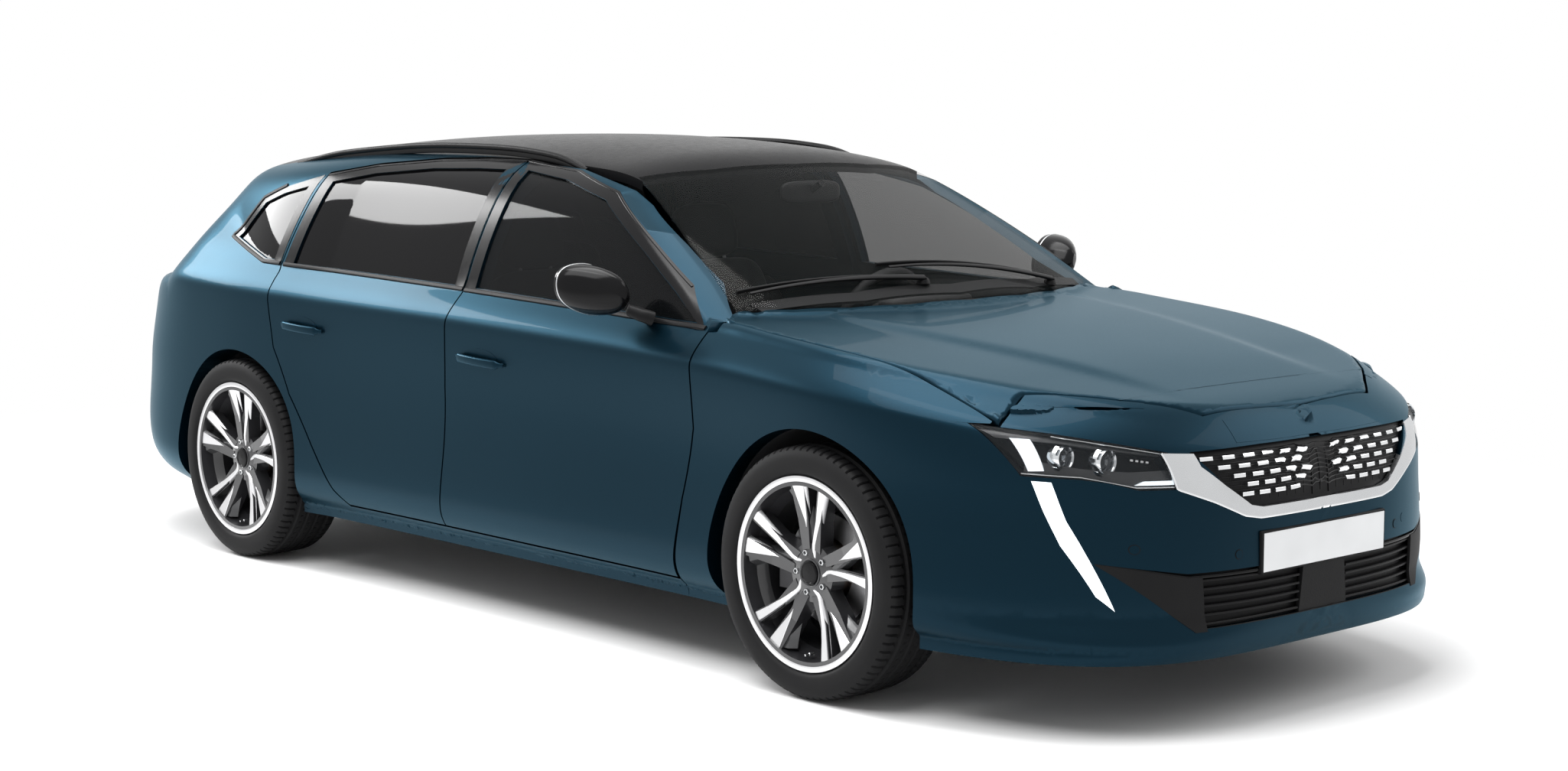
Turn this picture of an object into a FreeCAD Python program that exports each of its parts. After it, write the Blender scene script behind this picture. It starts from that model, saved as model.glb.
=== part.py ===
import FreeCAD, Part
import math
import os

Vector = FreeCAD.Vector
Placement = FreeCAD.Placement
Rotation = FreeCAD.Rotation

UP = Vector(0, 0, 1)
ALONG = Vector(0, 1, 0)
ACROSS = Vector(1, 0, 0)

# Driving sizes, in millimetres and degrees.
SIZES = [
    ("body_length", 4778), ("body_width", 1859), ("body_height", 1420), ("wheelbase", 2793),
    ("front_overhang", 975), ("track", 1600), ("sill_height", 190), ("floor_half_width", 742),
    ("panel_gap", 6), ("seat_gap", 0.3), ("side_depth", 120), ("door_depth", 70), ("frame_depth", 36),
    ("pillar_depth", 66), ("wing_depth", 75), ("bumper_depth", 60), ("lid_depth", 30), ("roof_depth", 28),
    ("glass_thickness", 5), ("glass_inset", 6), ("front_arch_radius", 378), ("rear_arch_radius", 368),
    ("housing_thickness", 14), ("housing_half_width", 480), ("rear_housing_half_width", 600),
    ("tyre_radius", 335), ("tyre_width", 235), ("bead_radius", 241), ("flange_radius", 256),
    ("rim_width", 216), ("rim_wall", 7), ("hub_radius", 78), ("spoke_pairs", 5), ("disc_radius", 150),
    ("disc_thickness", 26),
    ("kingpin_half_track", 745), ("axle_radius", 32), ("floor_thickness", 25), ("rail_radius", 12),
    ("steering_wheel_radius", 175), ("steering_rim_radius", 15), ("seat_width", 500),
    ("engine_length", 520), ("engine_width", 620), ("engine_height", 480), ("plate_width", 520),
    ("plate_height", 110), ("plate_depth", 18), ("plate_low", 386), ("tow_hole_radius", 9),
    ("tow_hole_depth", 45),
    ("tow_hole_side", 380), ("tow_hole_height", 455), ("spoiler_depth", 20), ("spoiler_length", 130),
    ("spoiler_half_width", 500), ("spoiler_fall", 60),
    ("gate_skin", 12), ("gate_step", 20),
]

document = FreeCAD.newDocument("station_wagon")
sheet = document.addObject("Spreadsheet::Sheet", "sizes")
for row, (label, value) in enumerate(SIZES, start=1):
    sheet.set("A%d" % row, label)
    sheet.set("B%d" % row, str(value))
    sheet.setAlias("B%d" % row, label)
document.recompute()


def size(label):
    return float(getattr(sheet, label))


LENGTH = size("body_length")
HALF = size("body_width") / 2
HEIGHT = size("body_height")
FRONT_AXLE = size("front_overhang") - LENGTH / 2
REAR_AXLE = FRONT_AXLE + size("wheelbase")
WHEEL_X = size("track") / 2
AXLE_Z = size("tyre_radius")
SILL = size("sill_height")
GAP = size("panel_gap")
SEAT_GAP = size("seat_gap")


class Curve:
    """A natural cubic spline through (place, value) points, straight beyond its ends."""

    def __init__(self, points):
        self.places = [p[0] for p in points]
        self.values = [p[1] for p in points]
        t = self.places
        v = self.values
        n = len(points)
        h = [t[i + 1] - t[i] for i in range(n - 1)]
        diagonal = [1.0] * n
        above = [0.0] * n
        right = [0.0] * n
        for i in range(1, n - 1):
            share = h[i - 1] / diagonal[i - 1]
            diagonal[i] = 2 * (h[i - 1] + h[i]) - share * above[i - 1]
            above[i] = h[i]
            bend = (v[i + 1] - v[i]) / h[i] - (v[i] - v[i - 1]) / h[i - 1]
            right[i] = 6 * bend - share * right[i - 1]
        self.bends = [0.0] * n
        for i in range(n - 2, 0, -1):
            self.bends[i] = (right[i] - above[i] * self.bends[i + 1]) / diagonal[i]
        self.spans = h

    def __call__(self, place):
        t = self.places
        v = self.values
        m = self.bends
        h = self.spans
        if place <= t[0]:
            return v[0] + (place - t[0]) * ((v[1] - v[0]) / h[0] - h[0] * m[1] / 6)
        if place >= t[-1]:
            return v[-1] + (place - t[-1]) * ((v[-1] - v[-2]) / h[-1] + h[-1] * m[-2] / 6)
        i = 0
        while t[i + 1] < place:
            i += 1
        a = t[i + 1] - place
        b = place - t[i]
        cubic = (m[i] * a ** 3 + m[i + 1] * b ** 3) / (6 * h[i])
        return cubic + (v[i] / h[i] - m[i] * h[i] / 6) * a + (v[i + 1] / h[i] - m[i + 1] * h[i] / 6) * b


def scaled(shares, place_size, value_size):
    return Curve([(a * place_size, b * value_size) for a, b in shares])


# Shape tables: places and values as shares of length, half width or height.
plan_shares = [(-0.5023, 0.9521), (-0.3977, 0.9769), (-0.2972, 0.9919), (-0.2093, 0.9758), (-0.0628, 0.9683),
               (0.0837, 0.9693), (0.2093, 0.9812), (0.2886, 0.9973), (0.3663, 0.9876), (0.4395, 0.9607),
               (0.5023, 0.9306)]
side_shares = [(0.1056, 0.1614), (0.1444, 0.0861), (0.1655, 0.0409), (0.1845, 0.0172), (0.2113, 0.0022),
               (0.2465, 0.0), (0.3028, 0.0075), (0.3803, 0.0172), (0.4577, 0.0183), (0.5352, 0.0108),
               (0.5986, 0.0032), (0.6211, 0.0054), (0.6423, 0.0237), (0.6761, 0.0667), (0.7042, 0.1033),
               (0.7746, 0.2152)]
belt_shares = [(-0.4814, 0.5352), (-0.3872, 0.588), (-0.2972, 0.6254), (-0.2005, 0.6521), (-0.0576, 0.6725),
               (0.0326, 0.6817), (0.2357, 0.6972), (0.3139, 0.7077), (0.5, 0.7324)]
nose_shares = [(0.1056, -0.4887), (0.1408, -0.4964), (0.1972, -0.4998), (0.2817, -0.5), (0.3662, -0.4994),
               (0.4366, -0.4979), (0.4887, -0.4937), (0.5211, -0.4877), (0.5493, -0.4801),
               (0.5775, -0.4688), (0.6338, -0.4353)]
tail_shares = [(0.1056, 0.4353), (0.1479, 0.4563), (0.1972, 0.4793), (0.2394, 0.4918), (0.2958, 0.4994),
               (0.3662, 0.4998), (0.4507, 0.4964), (0.5352, 0.4944), (0.6197, 0.4939), (0.6549, 0.4918),
               (0.7042, 0.4887)]
roof_shares = [(-0.1465, 0.9282), (-0.0837, 0.9655), (-0.0419, 0.981), (0.0, 0.9915), (0.0628, 1.0),
               (0.1256, 1.0), (0.2093, 0.9908), (0.293, 0.9704), (0.3767, 0.9394), (0.4395, 0.9113)]
hood_shares = [(-0.5023, 0.5176), (-0.4801, 0.5535), (-0.45, 0.5803), (-0.4081, 0.6085), (-0.3558, 0.6359),
               (-0.293, 0.6613), (-0.2365, 0.6796), (-0.1884, 0.6937), (0.0, 0.6761), (0.3139, 0.6761),
               (0.5, 0.6444)]
tumble_shares = [(-0.0704, -0.0323), (0.0, 0.0), (0.0704, 0.0387), (0.1408, 0.0882), (0.2113, 0.1528),
                 (0.2676, 0.2281), (0.3169, 0.3228)]
taper_shares = [(0.1884, 0.0), (0.2721, 0.006), (0.3349, 0.060), (0.3977, 0.105), (0.45, 0.120),
                (0.5, 0.18)]
form_shares = {
    "front_start": -0.2721, "rear_start": 0.3349, "knee": 0.3521, "belt_line": 0.6796, "glass_step": 0.0043,
    "glass_low": -0.0423, "edge": 0.0086, "rear_edge": 0.0861, "rear_edge_from": 0.2825, "rear_edge_to": 0.3977,
    "crown": 0.008, "crown_at": 0.8069, "ridge": 0.0108, "ridge_blend": 0.0151, "ridge_front": 0.355,
    "ridge_spread": 0.1829, "ridge_from": -0.4709, "ridge_to": -0.2302, "ridge_fade": -0.3977,
    "roof_crown": 0.0645, "roof_crown_at": 0.6455, "screen_base": -0.2365, "screen_sweep": 0.0419,
    "screen_at": 0.7897, "screen_height": 0.6937, "screen_bend": 0.1136, "back_height": 0.6479,
    "back_base": 0.500, "back_sweep": 0.070, "back_at": 0.7531, "screen_round": 0.0423,
    "back_round": 0.0493, "shoulder_round": 0.05, "screen_shoulder": 0.0538, "shoulder_from": -0.2302,
    "shoulder_to": -0.1884, "side_centre": 0.3765, "side_centre_height": 0.493,
    "power_low": 0.4366, "power_high": 0.6479, "lip_low": 0.1408, "lip_high": 0.2183,
}
front_powers = {"low": 3.04, "high": 2.72, "lip": 0.8}
rear_powers = {"low": 3.4, "high": 2.6, "lip": 0.0}
screen_slope = 0.56
back_slope = 0.78
crown_power = 2.2
roof_crown_power = 2.4

plan = scaled(plan_shares, LENGTH, HALF)
side = scaled(side_shares, HEIGHT, HALF)
belt = scaled(belt_shares, LENGTH, HEIGHT)
nose = scaled(nose_shares, HEIGHT, LENGTH)
tail = scaled(tail_shares, HEIGHT, LENGTH)
roof = scaled(roof_shares, LENGTH, HEIGHT)
hood_line = scaled(hood_shares, LENGTH, HEIGHT)
tumble = scaled(tumble_shares, HEIGHT, HALF)
taper = scaled(taper_shares, LENGTH, HALF)


def along(label):
    return form_shares[label] * LENGTH


def across(label):
    return form_shares[label] * HALF


def upward(label):
    return form_shares[label] * HEIGHT


def smooth_max(a, b, reach):
    near = max(reach - abs(a - b), 0.0) / reach
    return max(a, b) + near ** 3 * reach / 6


def smooth_min(a, b, reach):
    return -smooth_max(-a, -b, reach)


def blend(place, start, end):
    t = min(max((place - start) / (end - start), 0.0), 1.0)
    return t * t * (3 - 2 * t)


def end_power(powers, z):
    """The superellipse's power at a height: fuller corners low down, fullest at the lip."""
    high = blend(z, upward("power_low"), upward("power_high"))
    lip = 1 - blend(z, upward("lip_low"), upward("lip_high"))
    return powers["low"] + (powers["high"] - powers["low"]) * high + powers["lip"] * lip


def end_share(y, z):
    """How much of the full width is left where nose and tail close."""
    front_start = along("front_start")
    rear_start = along("rear_start")
    if y < front_start:
        t = min(max((front_start - y) / (front_start - nose(z)), 0.0), 1.0)
        power = end_power(front_powers, z)
    elif y > rear_start:
        t = min(max((y - rear_start) / (tail(z) - rear_start), 0.0), 1.0)
        power = end_power(rear_powers, z)
    else:
        return 1.0
    return (1 - t ** power) ** (1 / power)


def lower_half_width(y, z):
    knee = upward("knee")
    if z > knee:
        z = knee + (z - knee) * (upward("belt_line") - knee) / (belt(y) - knee)
    return plan(y) - side(z)


def glass_half_width(y, z):
    above = max(z - belt(y), upward("glass_low"))
    inset = side(upward("belt_line")) + across("glass_step")
    return plan(y) - inset - tumble(above) - taper(max(y, taper_shares[0][0] * LENGTH))


def side_half_width(y, z):
    reach = across("edge") + across("rear_edge") * blend(y, along("rear_edge_from"), along("rear_edge_to"))
    return smooth_max(lower_half_width(y, z), glass_half_width(y, z), reach) * end_share(y, z)


def hood_height(x, y):
    crown = across("crown") * (abs(x) / across("crown_at")) ** crown_power
    ridge_at = across("ridge_front") + across("ridge_spread") * blend(y, along("ridge_from"), along("ridge_to"))
    ridge = across("ridge") / (1 + math.exp(-(abs(x) - ridge_at) / across("ridge_blend")))
    return hood_line(y) - crown - ridge * blend(y, along("ridge_from"), along("ridge_fade"))


def top_height(x, y):
    crown = across("roof_crown") * (abs(x) / across("roof_crown_at")) ** roof_crown_power
    back = y - along("screen_base") - along("screen_sweep") * (abs(x) / across("screen_at")) ** 2
    bend = upward("screen_bend") * back * abs(back) / HEIGHT ** 2
    screen = upward("screen_height") + screen_slope * back - bend
    rear_edge = along("back_base") - along("back_sweep") * (abs(x) / across("back_at")) ** 2
    rear_glass = upward("back_height") + back_slope * (rear_edge - y)
    top = smooth_min(roof(y) - crown, screen, upward("screen_round"))
    top = smooth_min(top, rear_glass, upward("back_round"))
    return max(top, hood_height(x, y))


def form(x, y, z):
    """Below zero inside the body's outer skin."""
    from_side = abs(x) - side_half_width(y, z)
    from_top = z - top_height(x, y)
    reach = across("shoulder_round")
    reach += across("screen_shoulder") * blend(y, along("shoulder_from"), along("shoulder_to"))
    return smooth_max(from_side, from_top, reach)


def skin_distance(centre, direction, reach):
    """Distance from the centre, out along the direction, to the skin."""
    steps = 24
    outer = reach
    inner = None
    for i in range(1, steps + 1):
        r = reach * (1 - i / steps)
        if form(*(centre + direction * r)) < 0:
            inner = r
            break
        outer = r
    if inner is None:
        return reach / steps
    for i in range(20):
        middle = (inner + outer) / 2
        if form(*(centre + direction * middle)) < 0:
            inner = middle
        else:
            outer = middle
    return (inner + outer) / 2


def spread(start, end, count):
    return [start + (end - start) * i / (count - 1) for i in range(count)]


def rays(centres, directions, reach):
    """Skin distances for a grid: one centre per row, one direction per column."""
    return [[skin_distance(c, d, reach) for d in directions] for c in centres]


def surface(centres, directions, distances, inset):
    """A face through the skin points, moved inwards along each ray by inset(column)."""
    grid = []
    for centre, row in zip(centres, distances):
        grid.append([centre + d * (r - inset(j)) for j, (d, r) in enumerate(zip(directions, row))])
    patch = Part.BSplineSurface()
    patch.interpolate(grid)
    return patch


def slab(centres, directions, distances, outer_inset, inner_inset):
    """The closed solid between two insets of one ray grid."""
    outer = surface(centres, directions, distances, outer_inset)
    inner = surface(centres, directions, distances, inner_inset)
    faces = [outer.toShape(), inner.toShape()]
    u_range = outer.bounds()[:2]
    v_range = outer.bounds()[2:]
    for u, u_inner in zip(u_range, inner.bounds()[:2]):
        faces.append(Part.makeRuledSurface(outer.uIso(u).toShape(), inner.uIso(u_inner).toShape()))
    for v, v_inner in zip(v_range, inner.bounds()[2:]):
        faces.append(Part.makeRuledSurface(outer.vIso(v).toShape(), inner.vIso(v_inner).toShape()))
    shell = Part.makeShell(faces)
    shell.sewShape()
    solid = Part.makeSolid(shell)
    if solid.Volume < 0:
        solid.reverse()
    return solid


def offset_outline(points, distance):
    """The closed outline moved outwards by the distance."""
    area = sum(p[0] * q[1] - q[0] * p[1] for p, q in zip(points, points[1:] + points[:1]))
    turn = 1 if area > 0 else -1
    moved = []
    count = len(points)
    for i in range(count):
        before = points[i - 1]
        here = points[i]
        after = points[(i + 1) % count]
        first = (here[0] - before[0], here[1] - before[1])
        second = (after[0] - here[0], after[1] - here[1])
        first_length = math.hypot(*first)
        second_length = math.hypot(*second)
        normal_a = (turn * first[1] / first_length, -turn * first[0] / first_length)
        normal_b = (turn * second[1] / second_length, -turn * second[0] / second_length)
        mean = (normal_a[0] + normal_b[0], normal_a[1] + normal_b[1])
        scale = distance * 2 / max(mean[0] ** 2 + mean[1] ** 2, 0.5)
        moved.append((here[0] + mean[0] * scale, here[1] + mean[1] * scale))
    return moved


def prism(points, axis, start, end):
    """The outline's prism along X, Y or Z, between two places on that axis."""
    if axis == "x":
        corners = [Vector(start, a, b) for a, b in points]
        path = ACROSS * (end - start)
    elif axis == "y":
        corners = [Vector(a, start, b) for a, b in points]
        path = ALONG * (end - start)
    else:
        corners = [Vector(a, b, start) for a, b in points]
        path = UP * (end - start)
    return Part.Face(Part.makePolygon(corners + corners[:1])).extrude(path)


def eased(points, share=0.25):
    """A closed outline with each corner cut back once, for softer corners."""
    result = []
    count = len(points)
    for i in range(count):
        here = points[i]
        after = points[(i + 1) % count]
        result.append((here[0] + (after[0] - here[0]) * share, here[1] + (after[1] - here[1]) * share))
        result.append((after[0] + (here[0] - after[0]) * share, after[1] + (here[1] - after[1]) * share))
    return result


def mirrored(shape):
    return shape.mirror(Vector(0, 0, 0), ACROSS)


def both(shape):
    return Part.makeCompound([shape, mirrored(shape)])


def box(x0, x1, y0, y1, z0, z1):
    return Part.makeBox(x1 - x0, y1 - y0, z1 - z0, Vector(x0, y0, z0))


def tube(start, end, radius):
    return Part.makeCylinder(radius, (end - start).Length, start, end - start)


def whole(shapes):
    result = shapes[0]
    if len(shapes) > 1:
        result = result.fuse(shapes[1:])
    return result


def largest(shape):
    return max(shape.Solids, key=lambda s: s.Volume)


def trimmed(shape, tools):
    """The largest solid left after each tool in turn is cut away."""
    for tool in tools:
        if shape.BoundBox.intersect(tool.BoundBox):
            cut = largest(shape.cut(tool))
            if not cut.isValid():
                cut.fix(0.01, 0.01, 0.01)
            if not cut.isValid():
                cut = largest(shape.cut(tool, 0.01))
            if not cut.isValid():
                print("invalid after tool", tools.index(tool))
            shape = cut
    return shape


nodes = []


def add(label, shape):
    """Keeps the shape as a node of the document."""
    solids = shape.Solids
    part = document.addObject("Part::Feature", label)
    part.Label = label
    part.Shape = solids[0] if len(solids) == 1 else Part.makeCompound(solids)
    nodes.append(part)
    return part


# Outlines, as shares of length and height (seen from the side), or half width and height (from ahead).
def side_outline(shares):
    return [(a * LENGTH, b * HEIGHT) for a, b in shares]


def front_outline(shares):
    return [(a * HALF, b * HEIGHT) for a, b in shares]


def plan_outline(shares):
    return [(a * HALF, b * LENGTH) for a, b in shares]


window_top_shares = [(0.2937, 0.8472), (0.2696, 0.8739), (0.2279, 0.9021), (0.1821, 0.9254), (0.122, 0.9415),
                     (0.0751, 0.9458), (0.0295, 0.9458), (-0.0232, 0.9289), (-0.0714, 0.893),
                     (-0.1287, 0.7915), (-0.166, 0.7232), (-0.197, 0.6493)]
window_low_shares = [(-0.055, 0.6711), (0.0354, 0.6803), (0.2338, 0.6972), (0.2645, 0.7014), (0.3196, 0.75)]
front_line_shares = [(-0.2005, 0.6521), (-0.2009, 0.4711), (-0.1915, 0.331), (-0.1842, 0.1732)]
middle_line_shares = [(0.0354, 0.6803), (0.0377, 0.5986), (0.0419, 0.4789), (0.0452, 0.1761)]
middle_frame_shares = [(0.0354, 0.6803), (0.0333, 0.9613)]
rear_line_shares = [(0.2411, 0.6873), (0.2394, 0.6021), (0.2378, 0.5134), (0.2214, 0.4077), (0.1932, 0.3),
                    (0.1674, 0.2085), (0.1540, 0.1761)]
frame_shares = {"rail": 0.0141, "post": 0.0054, "ledge": 0.0246, "mullion": 0.0377}

front_door_shares = [(-0.2005, 0.6521), (-0.2009, 0.4711), (-0.1915, 0.331), (-0.1842, 0.1732),
                     (0.0452, 0.1761), (0.0419, 0.4789), (0.0377, 0.5986), (0.0354, 0.6803),
                     (0.0343, 0.957), (-0.0241, 0.9408), (-0.0747, 0.9035), (-0.1329, 0.8021),
                     (-0.1702, 0.7345), (-0.1985, 0.6690)]
rear_door_shares = [(0.0452, 0.1761), (0.1540, 0.1761), (0.1674, 0.2085), (0.1932, 0.3), (0.2214, 0.4077),
                    (0.2378, 0.5134), (0.2394, 0.6021), (0.2411, 0.6873), (0.2430, 0.7), (0.2300, 0.9113),
                    (0.1842, 0.9352), (0.122, 0.9517), (0.0751, 0.957), (0.0343, 0.957), (0.0354, 0.6803),
                    (0.0377, 0.5986), (0.0419, 0.4789)]
front_window_shares = [(-0.1880, 0.6662), (-0.0550, 0.6824), (0.0240, 0.6901), (0.0232, 0.9345),
                       (-0.0215, 0.9190), (-0.0690, 0.8838), (-0.1262, 0.7859), (-0.1620, 0.7197)]
rear_window_shares = [(0.0460, 0.6923), (0.2290, 0.7063), (0.2195, 0.8923), (0.1800, 0.9141),
                      (0.1210, 0.9303), (0.0751, 0.9345), (0.0460, 0.9345)]
quarter_window_shares = [(0.2530, 0.7120), (0.2640, 0.7127), (0.3120, 0.7535), (0.2900, 0.8366),
                         (0.2690, 0.8606), (0.2440, 0.8789)]
wing_shares = [(-0.2009, 0.4711), (-0.1915, 0.331), (-0.1842, 0.1338), (-0.3730, 0.1338), (-0.3730, 0.4908),
               (-0.3941, 0.5430), (-0.4100, 0.5430), (-0.4100, 0.7100), (-0.2080, 0.7100),
               (-0.2080, 0.6521), (-0.2005, 0.6521)]
hood_outline_shares = [(0.0, -0.4793), (0.1850, -0.4765), (0.3722, -0.4724), (0.5500, -0.4450),
                       (0.7273, -0.4115), (0.8360, -0.4140), (0.8499, -0.3579), (0.8763, -0.2949),
                       (0.8740, -0.2512), (0.8620, -0.2080), (0.7900, -0.1985), (0.6200, -0.2140),
                       (0.4500, -0.2265), (0.2500, -0.2355), (0.0, -0.2395)]
screen_outline_shares = [(0.0, -0.2375), (0.2500, -0.2335), (0.4500, -0.2245), (0.6200, -0.2120),
                         (0.7750, -0.1970), (0.6050, -0.0700), (0.3500, -0.0810), (0.0, -0.0850)]
lamp_shares = [(0.8822, 0.5430), (0.8359, 0.4577), (0.7445, 0.4542), (0.6950, 0.4486), (0.6294, 0.4352),
               (0.5207, 0.4345), (0.5433, 0.4972), (0.6724, 0.5162), (0.7703, 0.5303)]
blade_shares = [(0.8219, 0.4500), (0.7929, 0.4486), (0.7703, 0.3824), (0.6896, 0.2282), (0.7273, 0.2542),
                (0.7832, 0.3408), (0.8047, 0.3986)]
grille_shares = [(-0.4850, 0.4958), (-0.3250, 0.3859), (0.3250, 0.3859), (0.4850, 0.4958), (0.2500, 0.4985),
                 (-0.2500, 0.4985)]
intake_shares = [(-0.7273, 0.3106), (-0.5143, 0.2810), (-0.4800, 0.1900), (0.4800, 0.1900),
                 (0.5143, 0.2810), (0.7273, 0.3106), (0.5143, 0.2880), (-0.5143, 0.2880)]
gate_shares = [(-0.6000, 0.4900), (0.6000, 0.4900), (0.7000, 0.5400), (0.7250, 0.6300), (0.6065, 0.8600),
               (0.6065, 1.0500), (-0.6065, 1.0500), (-0.6065, 0.8600), (-0.7250, 0.6300), (-0.7000, 0.5400)]
gate_glass_shares = [(-0.5700, 0.6900), (0.5700, 0.6900), (0.5150, 0.8400), (0.3000, 0.8560),
                     (-0.3000, 0.8560), (-0.5150, 0.8400)]
tail_lamp_shares = [(0.6200, 0.5620), (0.9600, 0.5750), (0.9600, 0.6450), (0.6200, 0.6350)]
gate_lamp_shares = [(-0.6800, 0.5620), (0.6800, 0.5620), (0.6800, 0.6350), (-0.6800, 0.6350)]
rail_shares = [(-0.0224, 0.9440), (0.0021, 0.9710), (0.0335, 0.9817), (0.0659, 0.9873), (0.1256, 0.9880),
               (0.1689, 0.9831), (0.2240, 0.9700), (0.2660, 0.9570), (0.3100, 0.9290)]
dash_shares = [(-0.2080, 0.4300), (-0.2080, 0.6480), (-0.1880, 0.6560), (-0.1400, 0.6480), (-0.1180, 0.6150),
               (-0.1150, 0.5300), (-0.1400, 0.4300)]
steering_shares = {"hub_along": -0.0820, "hub_height": 0.5900}
column_angle = 22
running_gap = 0.05
bead_share = {"knuckle": 0.45}
hub_shares = {"stub": 0.24}
tyre_shares = [(0.4285, 0.7205), (0.4285, 0.7680), (0.485, 0.7900), (0.5, 0.8400), (0.492, 0.9100),
               (0.455, 0.9650), (0.40, 0.9900), (0.20, 0.9985), (0.0, 1.0), (-0.20, 0.9985), (-0.40, 0.9900),
               (-0.455, 0.9650),
               (-0.492, 0.9100), (-0.5, 0.8400), (-0.485, 0.7900), (-0.4285, 0.7680), (-0.4285, 0.7205),
               (-0.36, 0.7205),
               (-0.40, 0.7800), (-0.45, 0.8400), (-0.44, 0.9000), (-0.38, 0.9500), (0.0, 0.9650),
               (0.38, 0.9500), (0.44, 0.9000), (0.45, 0.8400), (0.40, 0.7800), (0.36, 0.7205)]
long_spoke_shares = [(10, 0.25), (9, 0.60), (12.4, 1.0), (18.6, 1.0), (18, 0.60), (34, 0.25)]
wedge_spoke_shares = [(-30, 0.25), (-13, 1.0), (-1, 1.0), (-4, 0.25)]
mirror_shares = [(0.9700, 0.6760), (1.1190, 0.6760), (1.1450, 0.7250), (1.1190, 0.7650), (0.9900, 0.7650),
                 (0.9500, 0.7250)]
mirror_arm_shares = [(0.8600, 0.6640), (1.0000, 0.6760), (1.0000, 0.6950), (0.8600, 0.6900)]
mirror_places = {"front": -0.1420, "rear": -0.1180}
place_shares = {
    "roof_edge": 0.613, "roof_front": -0.0790, "roof_rear": 0.3850, "wing_front": -0.3730,
    "front_grid": -0.4380, "rear_grid": 0.4750, "hood_rear": -0.2360, "bumper_top": 0.5800,
    "tail_top": 0.5000, "rear_bumper_front": 0.3500, "gate_front": 0.3860, "corner_rear": 0.4700,
}

SIDE_CENTRE = (across("side_centre"), upward("side_centre_height"))
side_ys = spread(along("screen_base"), place_shares["rear_grid"] * LENGTH, 48)
side_angles = spread(math.radians(-54), math.radians(84), 40)
side_centres = [Vector(SIDE_CENTRE[0], y, SIDE_CENTRE[1]) for y in side_ys]
side_directions = [Vector(math.cos(a), 0, math.sin(a)) for a in side_angles]
side_distances = rays(side_centres, side_directions, HALF)
wing_ys = spread(place_shares["front_grid"] * LENGTH, along("screen_base") * 0.7, 26)
wing_centres = [Vector(SIDE_CENTRE[0], y, SIDE_CENTRE[1]) for y in wing_ys]
wing_distances = rays(wing_centres, side_directions, HALF)


def side_inset(lower, upper):
    """Depth below and above the belt, eased from one to the other."""
    start = math.radians(16)
    end = math.radians(24)
    return lambda j: lower + (upper - lower) * blend(side_angles[j], start, end)


def side_slab(outer, lower, upper):
    return slab(side_centres, side_directions, side_distances, lambda j: outer, side_inset(lower, upper))


def side_prism(outline):
    return prism(outline, "x", 0, HALF * 1.2)


front_axle_line = Vector(0, FRONT_AXLE, AXLE_Z)
rear_axle_line = Vector(0, REAR_AXLE, AXLE_Z)


def arch_drum(centre, radius, start, end):
    return Part.makeCylinder(radius, end - start, centre + ACROSS * start, ACROSS)


front_arch = arch_drum(front_axle_line, size("front_arch_radius"), 0, HALF * 1.2)
rear_arch = arch_drum(rear_axle_line, size("rear_arch_radius"), 0, HALF * 1.2)

front_door_outline = side_outline(front_door_shares)
rear_door_outline = side_outline(rear_door_shares)
front_window = side_prism(side_outline(front_window_shares))
rear_window = side_prism(side_outline(rear_window_shares))
quarter_window = side_prism(side_outline(quarter_window_shares))
wing_outline = [(y - GAP / 2 if y > LENGTH * -0.207 else y, z) for y, z in side_outline(wing_shares)]
wing_prism = side_prism(wing_outline)
wing_top = HEIGHT * 0.6521
hood_outline = plan_outline(hood_outline_shares)
hood_full = hood_outline + [(-x, y) for x, y in reversed(hood_outline[1:-1])]
screen_half = plan_outline(screen_outline_shares)
screen_full = screen_half + [(-x, y) for x, y in reversed(screen_half[1:-1])]
screen_prism = prism(screen_full, "z", HEIGHT / 2, HEIGHT * 1.1)
gate_outline = front_outline(gate_shares)
gate_hole = prism(offset_outline(gate_outline, GAP), "y", place_shares["gate_front"] * LENGTH - GAP, LENGTH)
gate_prism = prism(gate_outline, "y", place_shares["gate_front"] * LENGTH, LENGTH)
roof_edge = place_shares["roof_edge"] * HALF

# Doors and their glass, made on the left and mirrored.
door_slab = side_slab(0, size("door_depth"), size("frame_depth"))
half_gap = GAP / 2
doors = {}
for label, outline, window in (("front", front_door_outline, front_window),
                               ("rear", rear_door_outline, rear_window)):
    door = door_slab.common(side_prism(offset_outline(outline, -half_gap)))
    if label == "rear":
        door = door.cut(arch_drum(rear_axle_line, size("rear_arch_radius") + GAP, 0, HALF * 1.2))
    doors[label] = trimmed(largest(door), [
        window, box(0, roof_edge + size("rail_radius") + GAP, -LENGTH, LENGTH, HEIGHT / 2, HEIGHT)])
glass_slab = side_slab(size("glass_inset"), size("glass_inset") + size("glass_thickness"),
                       size("glass_inset") + size("glass_thickness"))
glasses = {"front": largest(glass_slab.common(front_window)), "rear": largest(glass_slab.common(rear_window))}
quarter_glass = largest(glass_slab.common(quarter_window))

front_post = along("screen_base") * 0.77
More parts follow.
